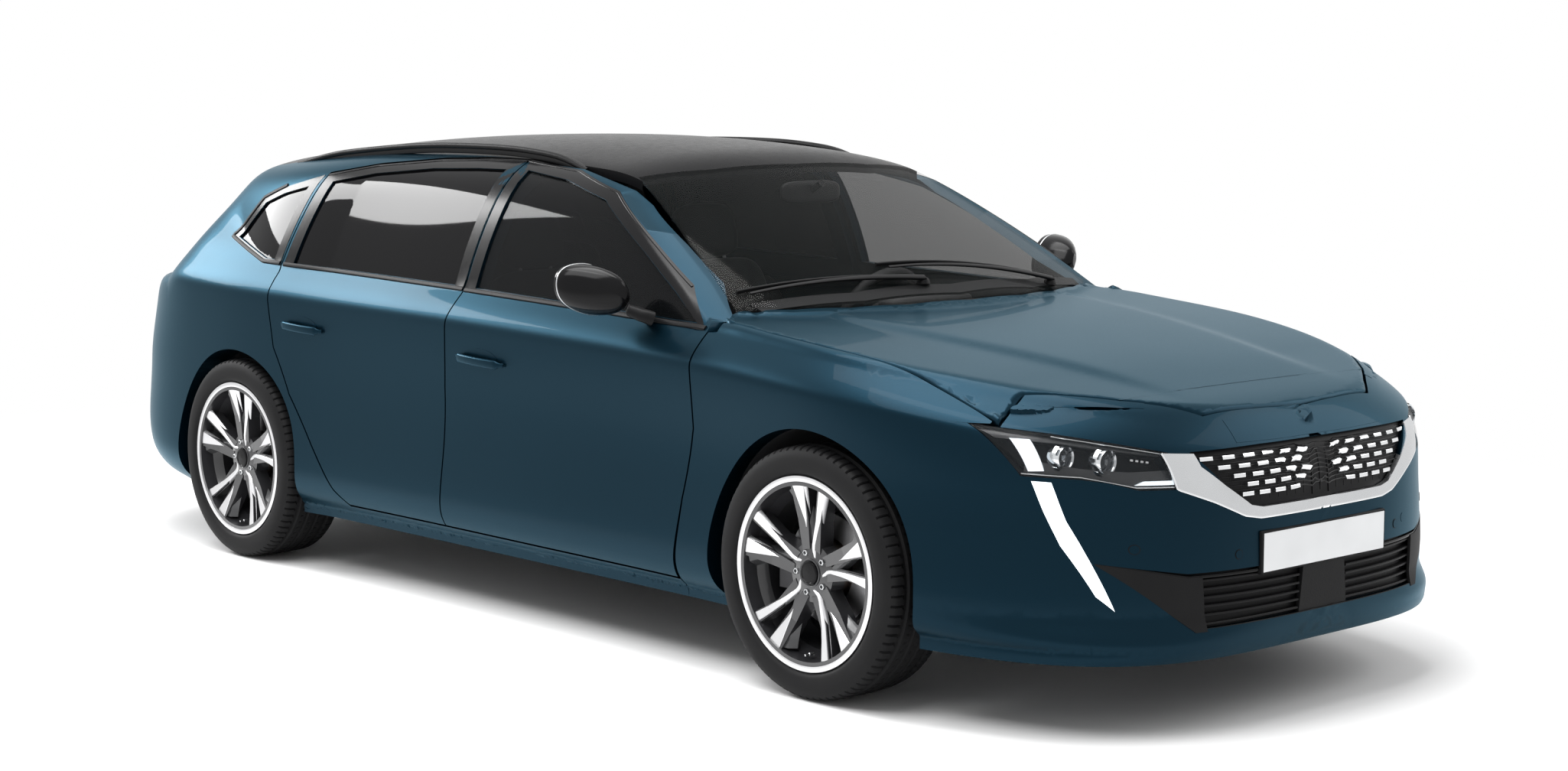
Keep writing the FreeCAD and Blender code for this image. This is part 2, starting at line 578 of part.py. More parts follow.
# Body side: sill, pillars, roof rail and quarter panel in one piece.
rebate = side_slab(-GAP, size("door_depth") + SEAT_GAP, size("frame_depth") + SEAT_GAP)
body_side = side_slab(0, size("side_depth"), size("pillar_depth"))
side_room = box(0, HALF * 1.2, along("screen_base") * 1.1, LENGTH, SILL, HEIGHT * 1.1)
body_side = largest(body_side.common(side_room))
ledge = frame_shares["ledge"] * HEIGHT
openings = []
for outline in (front_door_outline, rear_door_outline):
    openings.append(rebate.common(side_prism(offset_outline(outline, half_gap))))
    openings.append(side_prism(offset_outline(outline, -ledge)))
body_side = trimmed(body_side, openings)
body_side = trimmed(body_side, [
    box(0, HALF * 1.2, -LENGTH, wing_outline[2][0], 0, wing_top),
    box(0, HALF * 1.2, -LENGTH, wing_outline[-2][0], 0, HEIGHT),
    quarter_window, rear_arch, screen_prism, gate_hole,
    box(0, roof_edge, -LENGTH, LENGTH, HEIGHT * 0.8, HEIGHT * 1.1),
    box(0, size("floor_half_width"), -LENGTH, LENGTH, 0, HEIGHT * 0.3),
    box(0, HALF * 1.2, -LENGTH, front_post, SILL * 1.3, HEIGHT * 0.645),
    box(0, HALF * 0.78, -LENGTH, front_post, SILL, HEIGHT * 0.70),
    arch_drum(rear_axle_line, size("rear_arch_radius") + size("housing_thickness"), 0, WHEEL_X),
])

# Wings.
wing_slab = slab(wing_centres, side_directions, wing_distances, lambda j: 0, lambda j: size("wing_depth"))
hood_hole = prism(offset_outline(hood_full, GAP), "z", HEIGHT * 0.35, HEIGHT)
lamp_outline = front_outline(lamp_shares)
lamp_prism = prism(lamp_outline, "y", -LENGTH * 0.55, -LENGTH * 0.36)
wing = trimmed(largest(wing_slab.common(wing_prism)), [
    screen_prism, hood_hole, front_arch, lamp_prism,
    arch_drum(front_axle_line, size("front_arch_radius") + size("housing_thickness"), 0, WHEEL_X * 1.05),
])
print("side done")

# Nose: rays out from a point above the front axle.
nose_heights = spread(HEIGHT * 0.134, HEIGHT * 0.5725, 30)
nose_angles = spread(math.radians(-118), math.radians(118), 66)
nose_centres = [Vector(0, FRONT_AXLE, z) for z in nose_heights]
nose_directions = [Vector(math.sin(a), -math.cos(a), 0) for a in nose_angles]
nose_distances = rays(nose_centres, nose_directions, LENGTH * 0.3)


def nose_slab(outer, inner):
    return slab(nose_centres, nose_directions, nose_distances, lambda j: outer, lambda j: inner)


blade_prism = prism(front_outline(blade_shares), "y", -LENGTH * 0.55, -LENGTH * 0.36)
grille_prism = prism(front_outline(grille_shares), "y", -LENGTH * 0.55, -LENGTH * 0.36)
intake_prism = prism(front_outline(intake_shares), "y", -LENGTH * 0.55, -LENGTH * 0.36)
bumper_body = nose_slab(0, size("bumper_depth"))
lamps = nose_slab(0, size("bumper_depth") * 1.3)
lamp_solid = trimmed(largest(lamps.common(lamp_prism)), [hood_hole])
blade_solid = largest(nose_slab(0, size("bumper_depth") * 0.5).common(blade_prism))
grille_solid = largest(nose_slab(size("bumper_depth") * 0.25, size("bumper_depth") * 0.6).common(grille_prism))
intake_solid = largest(nose_slab(size("bumper_depth") * 0.35, size("bumper_depth") * 0.7).common(intake_prism))
wide = box(-HALF * 1.2, HALF * 1.2, place_shares["wing_front"] * LENGTH, 0, 0, HEIGHT)
housing_drum = arch_drum(front_axle_line, size("front_arch_radius") + size("housing_thickness"),
                         -WHEEL_X * 1.05, WHEEL_X * 1.05)
tow_x = size("tow_hole_side")
tow_z = size("tow_hole_height")
tow_skin = FRONT_AXLE - skin_distance(Vector(tow_x, FRONT_AXLE, tow_z), ALONG * -1, LENGTH * 0.3)
tow_hole = tube(Vector(tow_x, -LENGTH, tow_z), Vector(tow_x, tow_skin + size("tow_hole_depth"), tow_z),
                size("tow_hole_radius"))
plate_half = size("plate_width") / 2
plate_back = size("plate_depth") - LENGTH / 2
plate_top = size("plate_low") + size("plate_height")
plate_carrier = box(-plate_half, plate_half, -LENGTH / 2, plate_back, size("plate_low"), plate_top)
plate_seat = box(-plate_half - SEAT_GAP, plate_half + SEAT_GAP, -LENGTH, plate_back + SEAT_GAP,
                 size("plate_low") - SEAT_GAP, plate_top + SEAT_GAP)
front_bumper = trimmed(bumper_body, [
    plate_seat, wide, housing_drum, wing_prism, mirrored(wing_prism), front_arch, mirrored(front_arch),
    hood_hole, lamp_prism,
    mirrored(lamp_prism), blade_prism, mirrored(blade_prism), grille_prism, intake_prism, tow_hole])
print("tow hole mouth", tow_x, tow_skin, tow_z)
print("nose done")



# Hood, windscreen and roof: rays straight up.
def skin_top(x, y):
    low = HEIGHT * 0.3
    return low + skin_distance(Vector(x, y, low), UP, HEIGHT * 0.75)


def lid_slab(half, start, end, columns, rows, outer, inner, height=skin_top):
    """The solid between two depths below a height given for each place."""
    grid = [[Vector(x, y, height(x, y) - outer) for x in spread(-half, half, columns)]
            for y in spread(start, end, rows)]
    top = Part.BSplineSurface()
    top.interpolate(grid)
    return top.toShape().extrude(UP * (outer - inner))



hood_slab = lid_slab(HALF * 0.885, LENGTH * -0.485, LENGTH * -0.2, 45, 30, 0, size("lid_depth"))
hood_edge = [(x, y + (GAP / 2 if y < LENGTH * -0.4 else 0)) for x, y in hood_full]
hood = largest(hood_slab.common(prism(hood_edge, "z", HEIGHT * 0.35, HEIGHT)))
hood_rest = lid_slab(HALF * 0.885, LENGTH * -0.485, LENGTH * -0.2, 45, 30, -GAP, size("lid_depth") + SEAT_GAP)
screen_slab = lid_slab(HALF * 0.80, LENGTH * -0.24, LENGTH * -0.06, 25, 16, 0, size("glass_thickness") * 1.5)
windscreen = largest(screen_slab.common(screen_prism))
roof_slab = lid_slab(roof_edge, LENGTH * -0.09, place_shares["gate_front"] * LENGTH - GAP, 25, 30, 0,
                     size("roof_depth"))
roof_panel = largest(roof_slab.cut(screen_prism))
print("lids done")

# Tailgate: rays in upright planes, fanned from low behind the axle; rear bumper: rays level from the axle.
gate_xs = spread(-HALF * 0.76, HALF * 0.76, 31)
gate_angles = spread(math.radians(-16), math.radians(86), 44)
gate_centres = [Vector(x, LENGTH * 0.365, HEIGHT * 0.56) for x in gate_xs]
gate_directions = [Vector(0, math.cos(a), math.sin(a)) for a in gate_angles]
gate_distances = rays(gate_centres, gate_directions, LENGTH * 0.16)


def gate_slab(outer, inner):
    return slab(gate_centres, gate_directions, gate_distances, lambda j: outer, lambda j: inner)


gate_glass_prism = prism(front_outline(gate_glass_shares), "y", LENGTH * 0.37, LENGTH)
gate_depth = size("bumper_depth") * 0.8
gate_core = prism(offset_outline(gate_outline, -size("gate_step")), "y", 0, LENGTH)
gate_edge = gate_slab(size("gate_skin"), gate_depth * 1.2).cut(gate_core)
tailgate = largest(gate_slab(0, gate_depth).common(gate_prism))
tailgate = trimmed(tailgate, [gate_glass_prism, gate_edge])


spoiler_half = size("spoiler_half_width")
spoiler_start = place_shares["gate_front"] * LENGTH + GAP


def spoiler_height(x, y):
    """The roof's line carried on over the rear window, falling away to the sides."""
    crown = across("roof_crown") * (abs(x) / across("roof_crown_at")) ** roof_crown_power
    return roof(y) - crown - size("spoiler_fall") * (abs(x) / spoiler_half) ** 4


spoiler_outline = [(x, spoiler_start + size("spoiler_length") * (1 - (x / spoiler_half) ** 2 * 0.85))
                   for x in spread(spoiler_half, -spoiler_half, 17)]
spoiler_outline += [(-spoiler_half, spoiler_start), (spoiler_half, spoiler_start)]
spoiler = lid_slab(spoiler_half * 1.02, spoiler_start, spoiler_start + size("spoiler_length") * 1.02, 21, 8, 0,
                   size("spoiler_depth"), spoiler_height)
spoiler = trimmed(largest(spoiler.common(prism(spoiler_outline, "z", HEIGHT / 2, HEIGHT * 1.1))),
                  [gate_slab(0, gate_depth)])
gate_glass = largest(gate_slab(size("glass_inset"), size("glass_inset") + size("glass_thickness"))
                     .common(gate_glass_prism))
tail_heights = spread(HEIGHT * 0.120, HEIGHT * 0.505, 24)
tail_centres = [Vector(0, REAR_AXLE, z) for z in tail_heights]
tail_directions = [Vector(math.sin(a), math.cos(a), 0) for a in nose_angles]
tail_distances = rays(tail_centres, tail_directions, LENGTH * 0.3)
rear_bumper = slab(tail_centres, tail_directions, tail_distances, lambda j: 0,
                   lambda j: size("bumper_depth"))
tail_front = place_shares["rear_bumper_front"] * LENGTH
rear_bumper = trimmed(rear_bumper, [
    rear_arch, mirrored(rear_arch), gate_hole,
    box(-HALF * 1.2, HALF * 1.2, 0, tail_front, 0, HEIGHT),
    arch_drum(rear_axle_line, size("rear_arch_radius") + size("housing_thickness"), -WHEEL_X, WHEEL_X)])
corner_cut = box(0, HALF * 1.2, tail_front, LENGTH, 0, HEIGHT * 0.505)
body_side = largest(body_side.cut(corner_cut))
print("tail done")

# Tail lamps: a band on the tailgate and a lamp in each rear corner.
lamp_depth = size("bumper_depth") * 0.4
gate_lamp_prism = prism(front_outline(gate_lamp_shares), "y", LENGTH * 0.44, LENGTH)
gate_lamp = largest(gate_slab(0, lamp_depth).common(gate_lamp_prism).common(gate_prism))
tailgate = trimmed(tailgate, [gate_slab(-GAP, lamp_depth).common(gate_lamp_prism)])
corner_prism = prism(front_outline(tail_lamp_shares), "y", LENGTH * 0.443, LENGTH)
corner_lamp = largest(side_slab(0, lamp_depth, lamp_depth).common(corner_prism).cut(gate_hole))
body_side = trimmed(body_side, [side_slab(-GAP, lamp_depth, lamp_depth).common(corner_prism)])

# Roof rails, cut to sit on the roof and the body sides.
rail_top = side_outline(rail_shares)
rail_low = [(y, z - HEIGHT * 0.07) for y, z in reversed(rail_top)]
rail_bar = prism(rail_top + rail_low, "x", roof_edge - size("rail_radius"), roof_edge + size("rail_radius"))
rail_bar = trimmed(rail_bar, [lid_slab(HALF * 0.68, rail_top[0][0] - GAP, rail_top[-1][0] + GAP, 41, 30,
                                       -SEAT_GAP * 2, HEIGHT * 0.15)])

# Floor with wheel housings, bulkheads, hinge posts and front and rear structure.
floor_half = size("floor_half_width")
wall = size("housing_thickness")
floor_top = SILL + size("floor_thickness")
bulkhead = along("screen_base") * 0.895
front_inner = size("housing_half_width")
rear_inner = size("rear_housing_half_width")
front_radius = size("front_arch_radius")
rear_radius = size("rear_arch_radius")


def housing(axle, radius, inner, outer, low):
    """A wheel housing: a shell over the wheel, closed on its inner side."""
    shell = arch_drum(axle, radius + wall, inner - wall, outer)
    shell = shell.cut(arch_drum(axle, radius, inner, outer + wall))
    return shell.common(box(0, HALF * 1.2, -LENGTH, LENGTH, low, HEIGHT))


front_housing = housing(front_axle_line, front_radius, front_inner, WHEEL_X * 1.05, HEIGHT * 0.17)
rear_housing = housing(rear_axle_line, rear_radius, rear_inner, WHEEL_X, HEIGHT * 0.28)
luggage_floor = HEIGHT * 0.43
rail_x = front_inner - wall
arm_width = size("axle_radius")
beam_y = LENGTH * -0.4655
tail_wall = LENGTH * 0.445
luggage_front = REAR_AXLE - rear_radius * 0.66
tail_half = rear_inner * 0.9
lock_carrier = trimmed(
    box(-arm_width, arm_width, tail_wall - wall, LENGTH * 0.5, HEIGHT * 0.510, HEIGHT * 0.535),
                       [gate_slab(-LENGTH * 0.03, gate_depth + SEAT_GAP)])
hood_post = trimmed(Part.makeCylinder(wall, HEIGHT * 0.3,
                                      Vector(WHEEL_X * 0.8, FRONT_AXLE, AXLE_Z + front_radius + wall / 2)),
                    [hood_rest])
floor_parts = [
    hood_post, mirrored(hood_post),
    box(-floor_half, floor_half, bulkhead, REAR_AXLE, SILL, floor_top),
    box(-floor_half, floor_half, bulkhead - size("floor_thickness"), bulkhead, SILL, HEIGHT * 0.63),
    box(-rear_inner, rear_inner, luggage_front, REAR_AXLE + rear_radius, luggage_floor - wall, luggage_floor),
    box(-tail_half, tail_half, REAR_AXLE + rear_radius, tail_wall, luggage_floor - wall, luggage_floor),
    box(-rear_inner, rear_inner, luggage_front - wall, luggage_front, SILL, luggage_floor),
    box(-tail_half, tail_half, tail_wall - wall, tail_wall, HEIGHT * 0.2, luggage_floor),
    box(-tail_half, tail_half, REAR_AXLE + rear_radius, tail_wall, HEIGHT * 0.2, HEIGHT * 0.2 + wall),
    box(-tail_half, tail_half, REAR_AXLE + rear_radius - wall, REAR_AXLE + rear_radius, HEIGHT * 0.2,
        luggage_floor),
    box(-arm_width, arm_width, tail_wall - wall, tail_wall, luggage_floor - wall, HEIGHT * 0.535),
    lock_carrier,
    box(-rail_x, rail_x, beam_y, beam_y + wall * 2, HEIGHT * 0.3, HEIGHT * 0.37),
    front_housing, mirrored(front_housing), rear_housing, mirrored(rear_housing),
]
for sign in (1, -1):
    x0, x1 = sorted((sign * (rail_x - wall * 4), sign * front_inner))
    floor_parts.append(box(x0, x1, beam_y, FRONT_AXLE - front_radius * 0.9, HEIGHT * 0.3, HEIGHT * 0.37))
    x0, x1 = sorted((sign * (floor_half - wall * 7), sign * (floor_half - wall * 3)))
    floor_parts.append(box(x0, x1, bulkhead - size("floor_thickness"), along("screen_base") * 0.80,
                           SILL, HEIGHT * 0.62))
floorpan = whole(floor_parts)
wheel_space = [arch_drum(rear_axle_line, rear_radius, rear_inner, HALF),
               mirrored(arch_drum(rear_axle_line, rear_radius, rear_inner, HALF)),
               arch_drum(front_axle_line, front_radius, front_inner, HALF),
               mirrored(arch_drum(front_axle_line, front_radius, front_inner, HALF))]
floorpan = trimmed(floorpan, wheel_space)


def rounded(shape, radius, choose=lambda edge: True):
    """The box with the chosen edges rounded."""
    return shape.makeFillet(radius, [edge for edge in shape.Edges if choose(edge)])


# Cabin.
dash_profile = side_outline(dash_shares)
dashboard = prism(dash_profile, "x", -HALF * 0.67, HALF * 0.67)
seat_x = HALF * 0.40
seat_half = size("seat_width") / 2
seat_round = seat_half * 0.2


def seat(centre_x, half, front, low):
    """A cushion, a back and a headrest on a plain base."""
    left, right = centre_x - half * 0.7, centre_x + half * 0.7
    base = box(left, right, front + half * 0.2, front + half * 1.8, floor_top, low)
    cushion = rounded(box(centre_x - half, centre_x + half, front, front + half * 2.1, low, low + half * 0.62),
                      seat_round)
    back = rounded(box(centre_x - half, centre_x + half, -half * 0.25, half * 0.25, -half * 0.2, half * 2.35),
                   seat_round)
    rest = rounded(box(centre_x - half * 0.5, centre_x + half * 0.5, -half * 0.2, half * 0.2,
                       half * 2.30, half * 3.1), seat_round * 0.7)
    back = back.fuse(rest)
    back.rotate(Vector(0, 0, 0), ACROSS, -18)
    back.translate(Vector(0, front + half * 2.0, low + half * 0.4))
    return whole([base, cushion, back])


front_seat = seat(seat_x, seat_half, LENGTH * -0.055, HEIGHT * 0.24)
bench_half = HALF * 0.62
bench_low = HEIGHT * 0.24
bench_front = LENGTH * 0.135
bench_base = box(-bench_half * 0.9, bench_half * 0.9, bench_front + seat_half * 0.3,
                 bench_front + seat_half * 1.2, floor_top, bench_low)
bench_cushion = rounded(box(-bench_half, bench_half, bench_front, bench_front + seat_half * 1.5,
                            bench_low, bench_low + seat_half * 0.6), seat_round)
bench_back = rounded(box(-bench_half * 0.83, bench_half * 0.83, -seat_half * 0.2, seat_half * 0.2,
                         seat_half * 0.1, seat_half * 2.5), seat_round * 0.8)
rests = []
for share in (-0.55, 0.0, 0.55):
    rests.append(rounded(box(bench_half * share - seat_half * 0.5, bench_half * share + seat_half * 0.5,
                             -seat_half * 0.18, seat_half * 0.18, seat_half * 2.45, seat_half * 3.0),
                         seat_round * 0.6))
bench_back = whole([bench_back] + rests)
bench_back.rotate(Vector(0, 0, 0), ACROSS, -20)
bench_back.translate(Vector(0, bench_front + seat_half * 1.35, bench_low + seat_half * 0.35))
rear_bench = whole([bench_base, bench_cushion, bench_back])

wheel_hub = Vector(seat_x, LENGTH * steering_shares["hub_along"], HEIGHT * steering_shares["hub_height"])
column = Vector(0, -math.cos(math.radians(column_angle)), -math.sin(math.radians(column_angle)))
wheel_radius = size("steering_wheel_radius")
grip = size("steering_rim_radius")
rim_ring = Part.makeTorus(wheel_radius, grip, wheel_hub, column)
spokes = []
side_way = ACROSS
down_way = column.cross(ACROSS)
for way in (side_way, side_way * -1, down_way * (1 if down_way.z < 0 else -1)):
    spokes.append(tube(wheel_hub, wheel_hub + way * wheel_radius, grip * 0.7))
hub_end = wheel_hub + column * (wheel_radius * 0.45)
hub_disc = Part.makeCylinder(wheel_radius * 0.36, grip * 2.4, wheel_hub - column * grip, column)
steering_wheel = whole([rim_ring, hub_disc, tube(wheel_hub, hub_end, grip * 1.3)] + spokes)
cowl_start = hub_end + column * SEAT_GAP
dash_column = tube(cowl_start, cowl_start + column * (wheel_radius * 1.1), grip * 2)
dashboard = dashboard.fuse(dash_column)
dashboard = largest(dashboard.cut(box(-HALF, HALF, -LENGTH, bulkhead, 0, HEIGHT)).cut(windscreen))

# Engine, front and rear suspension.
subframe_top = HEIGHT * 0.225
subframe = box(-rail_x, rail_x, FRONT_AXLE - front_radius * 0.45, FRONT_AXLE + front_radius * 0.5,
               SILL, subframe_top)
kingpin = size("kingpin_half_track")
arm_width = size("axle_radius")
knuckle_low = AXLE_Z - bead_share["knuckle"] * size("bead_radius")
arm = box(rail_x - wall, kingpin, FRONT_AXLE - arm_width, FRONT_AXLE + arm_width, knuckle_low - wall * 2,
          knuckle_low - wall)
boss_foot = Vector(kingpin, FRONT_AXLE, knuckle_low - wall * 2)
boss = Part.makeCylinder(arm_width * 0.8, wall * 2 - SEAT_GAP, boss_foot)
strut_x = WHEEL_X * 0.75
strut = Part.makeCylinder(arm_width * 0.8, AXLE_Z + front_radius - knuckle_low + wall,
                          Vector(strut_x, FRONT_AXLE, knuckle_low - wall))
strut = strut.common(arch_drum(front_axle_line, front_radius, 0, HALF))
side_arm = whole([arm, boss, strut])
front_suspension = whole([subframe, side_arm, mirrored(side_arm)])
engine = box(-size("engine_width") / 2, size("engine_width") / 2, FRONT_AXLE - size("engine_length") * 0.55,
             FRONT_AXLE + size("engine_length") * 0.45, subframe_top, subframe_top + size("engine_height"))

stub_end = WHEEL_X + size("rim_width") * hub_shares["stub"]
rear_arm_x = rear_inner + wall * 3
beam = tube(Vector(-rear_arm_x, REAR_AXLE, AXLE_Z), Vector(rear_arm_x, REAR_AXLE, AXLE_Z), size("axle_radius"))
stub = tube(Vector(rear_arm_x, REAR_AXLE, AXLE_Z), Vector(stub_end, REAR_AXLE, AXLE_Z), size("axle_radius"))
carrier = Part.makeCylinder(size("axle_radius") * 2, wall * 2, Vector(rear_arm_x, REAR_AXLE, AXLE_Z), ACROSS)
rear_strut = Part.makeCylinder(arm_width * 0.7, luggage_floor - wall - AXLE_Z,
                               Vector(rear_inner * 0.8, REAR_AXLE, AXLE_Z))
rear_suspension = whole([
    beam, stub, mirrored(stub), carrier, mirrored(carrier), rear_strut, mirrored(rear_strut)])

# Knuckle with its hub stub and brake caliper, made on the left.
centre = Vector(WHEEL_X, FRONT_AXLE, AXLE_Z)
knuckle_half = size("bead_radius") * bead_share["knuckle"]
upright = box(kingpin - wall * 1.5, kingpin + wall * 1.8, FRONT_AXLE - arm_width * 1.2,
              FRONT_AXLE + arm_width * 1.2, AXLE_Z - knuckle_half, AXLE_Z + knuckle_half * 0.9)
stub_root = Vector(kingpin, FRONT_AXLE, AXLE_Z)
stub_front = tube(stub_root, Vector(stub_end, FRONT_AXLE, AXLE_Z), size("axle_radius"))
disc_radius = size("disc_radius")
disc_half = size("disc_thickness") / 2
caliper = box(kingpin - wall * 1.5, WHEEL_X + disc_half + GAP * 2.8, FRONT_AXLE + disc_radius * 0.62,
              FRONT_AXLE + disc_radius * 1.16, AXLE_Z - disc_radius * 0.45, AXLE_Z + disc_radius * 0.45)
caliper = caliper.cut(Part.makeCylinder(disc_radius + GAP, disc_half * 2 + GAP * 2,
                                        centre - ACROSS * (disc_half + GAP), ACROSS))
bracket = box(kingpin - wall * 1.5, kingpin + wall * 0.8, FRONT_AXLE, FRONT_AXLE + disc_radius * 0.8,
              AXLE_Z - wall * 2, AXLE_Z + wall * 2)
knuckle = largest(whole([upright, stub_front, bracket, caliper]))

# Wheel: tyre, rim and disc about the X axis at the origin, outer face towards +X.
def turned_about_axle(points):
    corners = [Vector(x, 0, r) for x, r in points]
    return Part.Face(Part.makePolygon(corners + corners[:1])).revolve(Vector(0, 0, 0), ACROSS, 360)


def wheel_outline(shares):
    return [(a * size("tyre_width"), b * size("tyre_radius")) for a, b in shares]


tyre = turned_about_axle(wheel_outline(tyre_shares))
rim_half = size("rim_width") / 2
bead = size("bead_radius")
flange = size("flange_radius")
skin = size("rim_wall")
barrel = turned_about_axle([
    (-rim_half, flange), (-rim_half + skin, flange), (-rim_half + skin, bead), (-rim_half * 0.66, bead - skin),
    (-rim_half * 0.45, bead * 0.91), (rim_half * 0.35, bead * 0.91), (rim_half * 0.66, bead - skin),
    (rim_half - skin, bead), (rim_half - skin, flange), (rim_half, flange),
    (rim_half, bead - skin * 1.5), (rim_half * 0.6, bead - skin * 2), (rim_half * 0.33, bead * 0.88),
    (-rim_half * 0.43, bead * 0.88), (-rim_half * 0.6, bead - skin * 2), (-rim_half, bead - skin * 1.5)])
hub_face = turned_about_axle([
    (rim_half * 0.28, size("axle_radius") + running_gap), (rim_half * 0.28, size("hub_radius")),
    (rim_half * 0.70, size("hub_radius")), (rim_half * 0.76, size("hub_radius") * 0.5), (rim_half * 0.76, 0),
    (stub_end - WHEEL_X + GAP, 0), (stub_end - WHEEL_X + GAP, size("axle_radius") + running_gap)])
spoke_env = turned_about_axle([
    (rim_half * 0.30, size("hub_radius") * 0.8), (rim_half * 0.74, size("hub_radius") * 0.8),
    (rim_half * 0.80, bead * 0.60), (rim_half * 0.95, bead - skin * 1.6), (rim_half * 0.5, bead - skin * 1.6),
    (rim_half * 0.38, bead * 0.60)])
spoke_solids = []


def spoke(shares, turn):
    """A flat spoke from (angle, radius) shares, through the depth of the wheel's face."""
    points = []
    for angle, radius in shares:
        a = math.radians(angle + turn)
        points.append((-math.sin(a) * radius * bead, math.cos(a) * radius * bead))
    return prism(points, "x", 0, rim_half).common(spoke_env)


pairs = int(size("spoke_pairs"))
for i in range(pairs):
    turn = 360 / pairs * i
    spoke_solids.append(spoke(long_spoke_shares, turn))
    spoke_solids.append(spoke(wedge_spoke_shares, turn))
rim = largest(whole([barrel, hub_face] + spoke_solids).removeSplitter())
disc = turned_about_axle([(-disc_half, size("axle_radius") + running_gap), (-disc_half, disc_radius),
                          (disc_half, disc_radius), (disc_half, size("hub_radius")),
                          (rim_half * 0.28, size("hub_radius")),
                          (rim_half * 0.28, size("axle_radius") + running_gap)])

# Mirrors, carried by the front doors.
mirror_body = front_outline(mirror_shares)
mirror_y = LENGTH * mirror_places["rear"]
mirror = prism(eased(mirror_body), "y", LENGTH * mirror_places["front"], mirror_y)
mirror_arm_front = LENGTH * mirror_places["front"] * 1.08
mirror_arm = prism(front_outline(mirror_arm_shares), "y", mirror_arm_front, mirror_y * 1.03)
mirror = largest(whole([mirror, mirror_arm]).cut(doors["front"]).cut(glasses["front"]))
print("rest done")

add("hood", hood)
add("tailgate", tailgate)
add("tailgate_glass", gate_glass)
add("tailgate_spoiler", spoiler)
add("roof_panel", roof_panel)
add("windscreen", windscreen)
add("front_bumper", front_bumper)
add("rear_bumper", rear_bumper)
add("plate_carrier", plate_carrier)
add("upper_grille", grille_solid)
add("lower_grille", intake_solid)
add("headlamps", Part.makeCompound([lamp_solid, mirrored(lamp_solid)]))
add("running_light_blades", both(blade_solid))
for label, turned in (("left", lambda s: s), ("right", mirrored)):
    add("body_side_" + label, turned(body_side))
    add("wing_" + label, turned(wing))
    add("front_door_" + label, turned(doors["front"]))
    add("rear_door_" + label, turned(doors["rear"]))
    add("front_door_glass_" + label, turned(glasses["front"]))
    add("rear_door_glass_" + label, turned(glasses["rear"]))
add("quarter_glasses", both(quarter_glass))
add("floorpan", floorpan)
add("roof_rails", both(rail_bar))
add("dashboard", dashboard)
add("front_seats", both(front_seat))
add("rear_bench", rear_bench)
add("steering_wheel", steering_wheel)
add("engine_block", engine)
add("front_suspension", front_suspension)
add("rear_suspension", rear_suspension)
add("tailgate_lamps", gate_lamp)
add("corner_lamps", both(corner_lamp))
for label, turned in (("left", lambda s: s), ("right", mirrored)):
    add("mirror_" + label, turned(mirror))
    add("knuckle_" + label, turned(knuckle))
    for end, axle in (("front", FRONT_AXLE), ("rear", REAR_AXLE)):
        place = Vector(WHEEL_X, axle, AXLE_Z)
        for name, solid in (("tyre", tyre), ("rim", rim), ("disc", disc)):
            placed = solid.copy()
            placed.translate(place)
            add("_".join((name, end, label)), turned(placed))

document.recompute()
os.makedirs("parts", exist_ok=True)
for part in nodes:
    shape = part.Shape
    if not shape.isValid() or shape.Volume <= 0:
        raise ValueError("bad shape: " + part.Label)
    if "Invalid" in part.State:
        raise ValueError("bad state: " + part.Label)
    shape.exportStep("parts/" + part.Label + ".step")
print("nodes", len(nodes))
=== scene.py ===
import math
from functools import partial

import bmesh
import bpy
import numpy as np
from bpy.props import FloatProperty, FloatVectorProperty, PointerProperty
from bpy.types import Operator, Panel, PropertyGroup
from mathutils import Matrix, Vector


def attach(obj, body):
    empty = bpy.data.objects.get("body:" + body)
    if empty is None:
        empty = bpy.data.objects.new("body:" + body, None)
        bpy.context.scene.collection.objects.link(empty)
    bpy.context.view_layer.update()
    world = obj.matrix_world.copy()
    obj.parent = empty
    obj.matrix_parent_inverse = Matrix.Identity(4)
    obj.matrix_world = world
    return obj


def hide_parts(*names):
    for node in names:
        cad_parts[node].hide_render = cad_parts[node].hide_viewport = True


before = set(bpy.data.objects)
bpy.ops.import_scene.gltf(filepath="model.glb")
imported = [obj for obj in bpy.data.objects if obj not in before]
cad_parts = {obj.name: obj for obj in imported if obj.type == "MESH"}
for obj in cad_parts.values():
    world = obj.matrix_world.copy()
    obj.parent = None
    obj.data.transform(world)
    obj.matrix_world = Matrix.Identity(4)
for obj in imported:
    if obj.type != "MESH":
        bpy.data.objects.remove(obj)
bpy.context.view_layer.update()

bl_info = {
    "name": "Station Wagon Dresser",
    "version": (1, 0, 0),
    "blender": (4, 5, 0),
    "location": "3D View > Sidebar > Wagon",
    "description": "Dresses the packed station wagon with its skins, lamps, wheels, trim and cabin",
    "category": "Object",
}

# The car's driving sizes, in metres, as the CAD source has them.
LENGTH = 4.778
HALF = 0.9295
HEIGHT = 1.42
AXLE_Z = 0.335
FRONT_AXLE = -1.414
REAR_AXLE = 1.379
WHEEL_X = 0.8
SIDES = (("left", 1), ("right", -1))


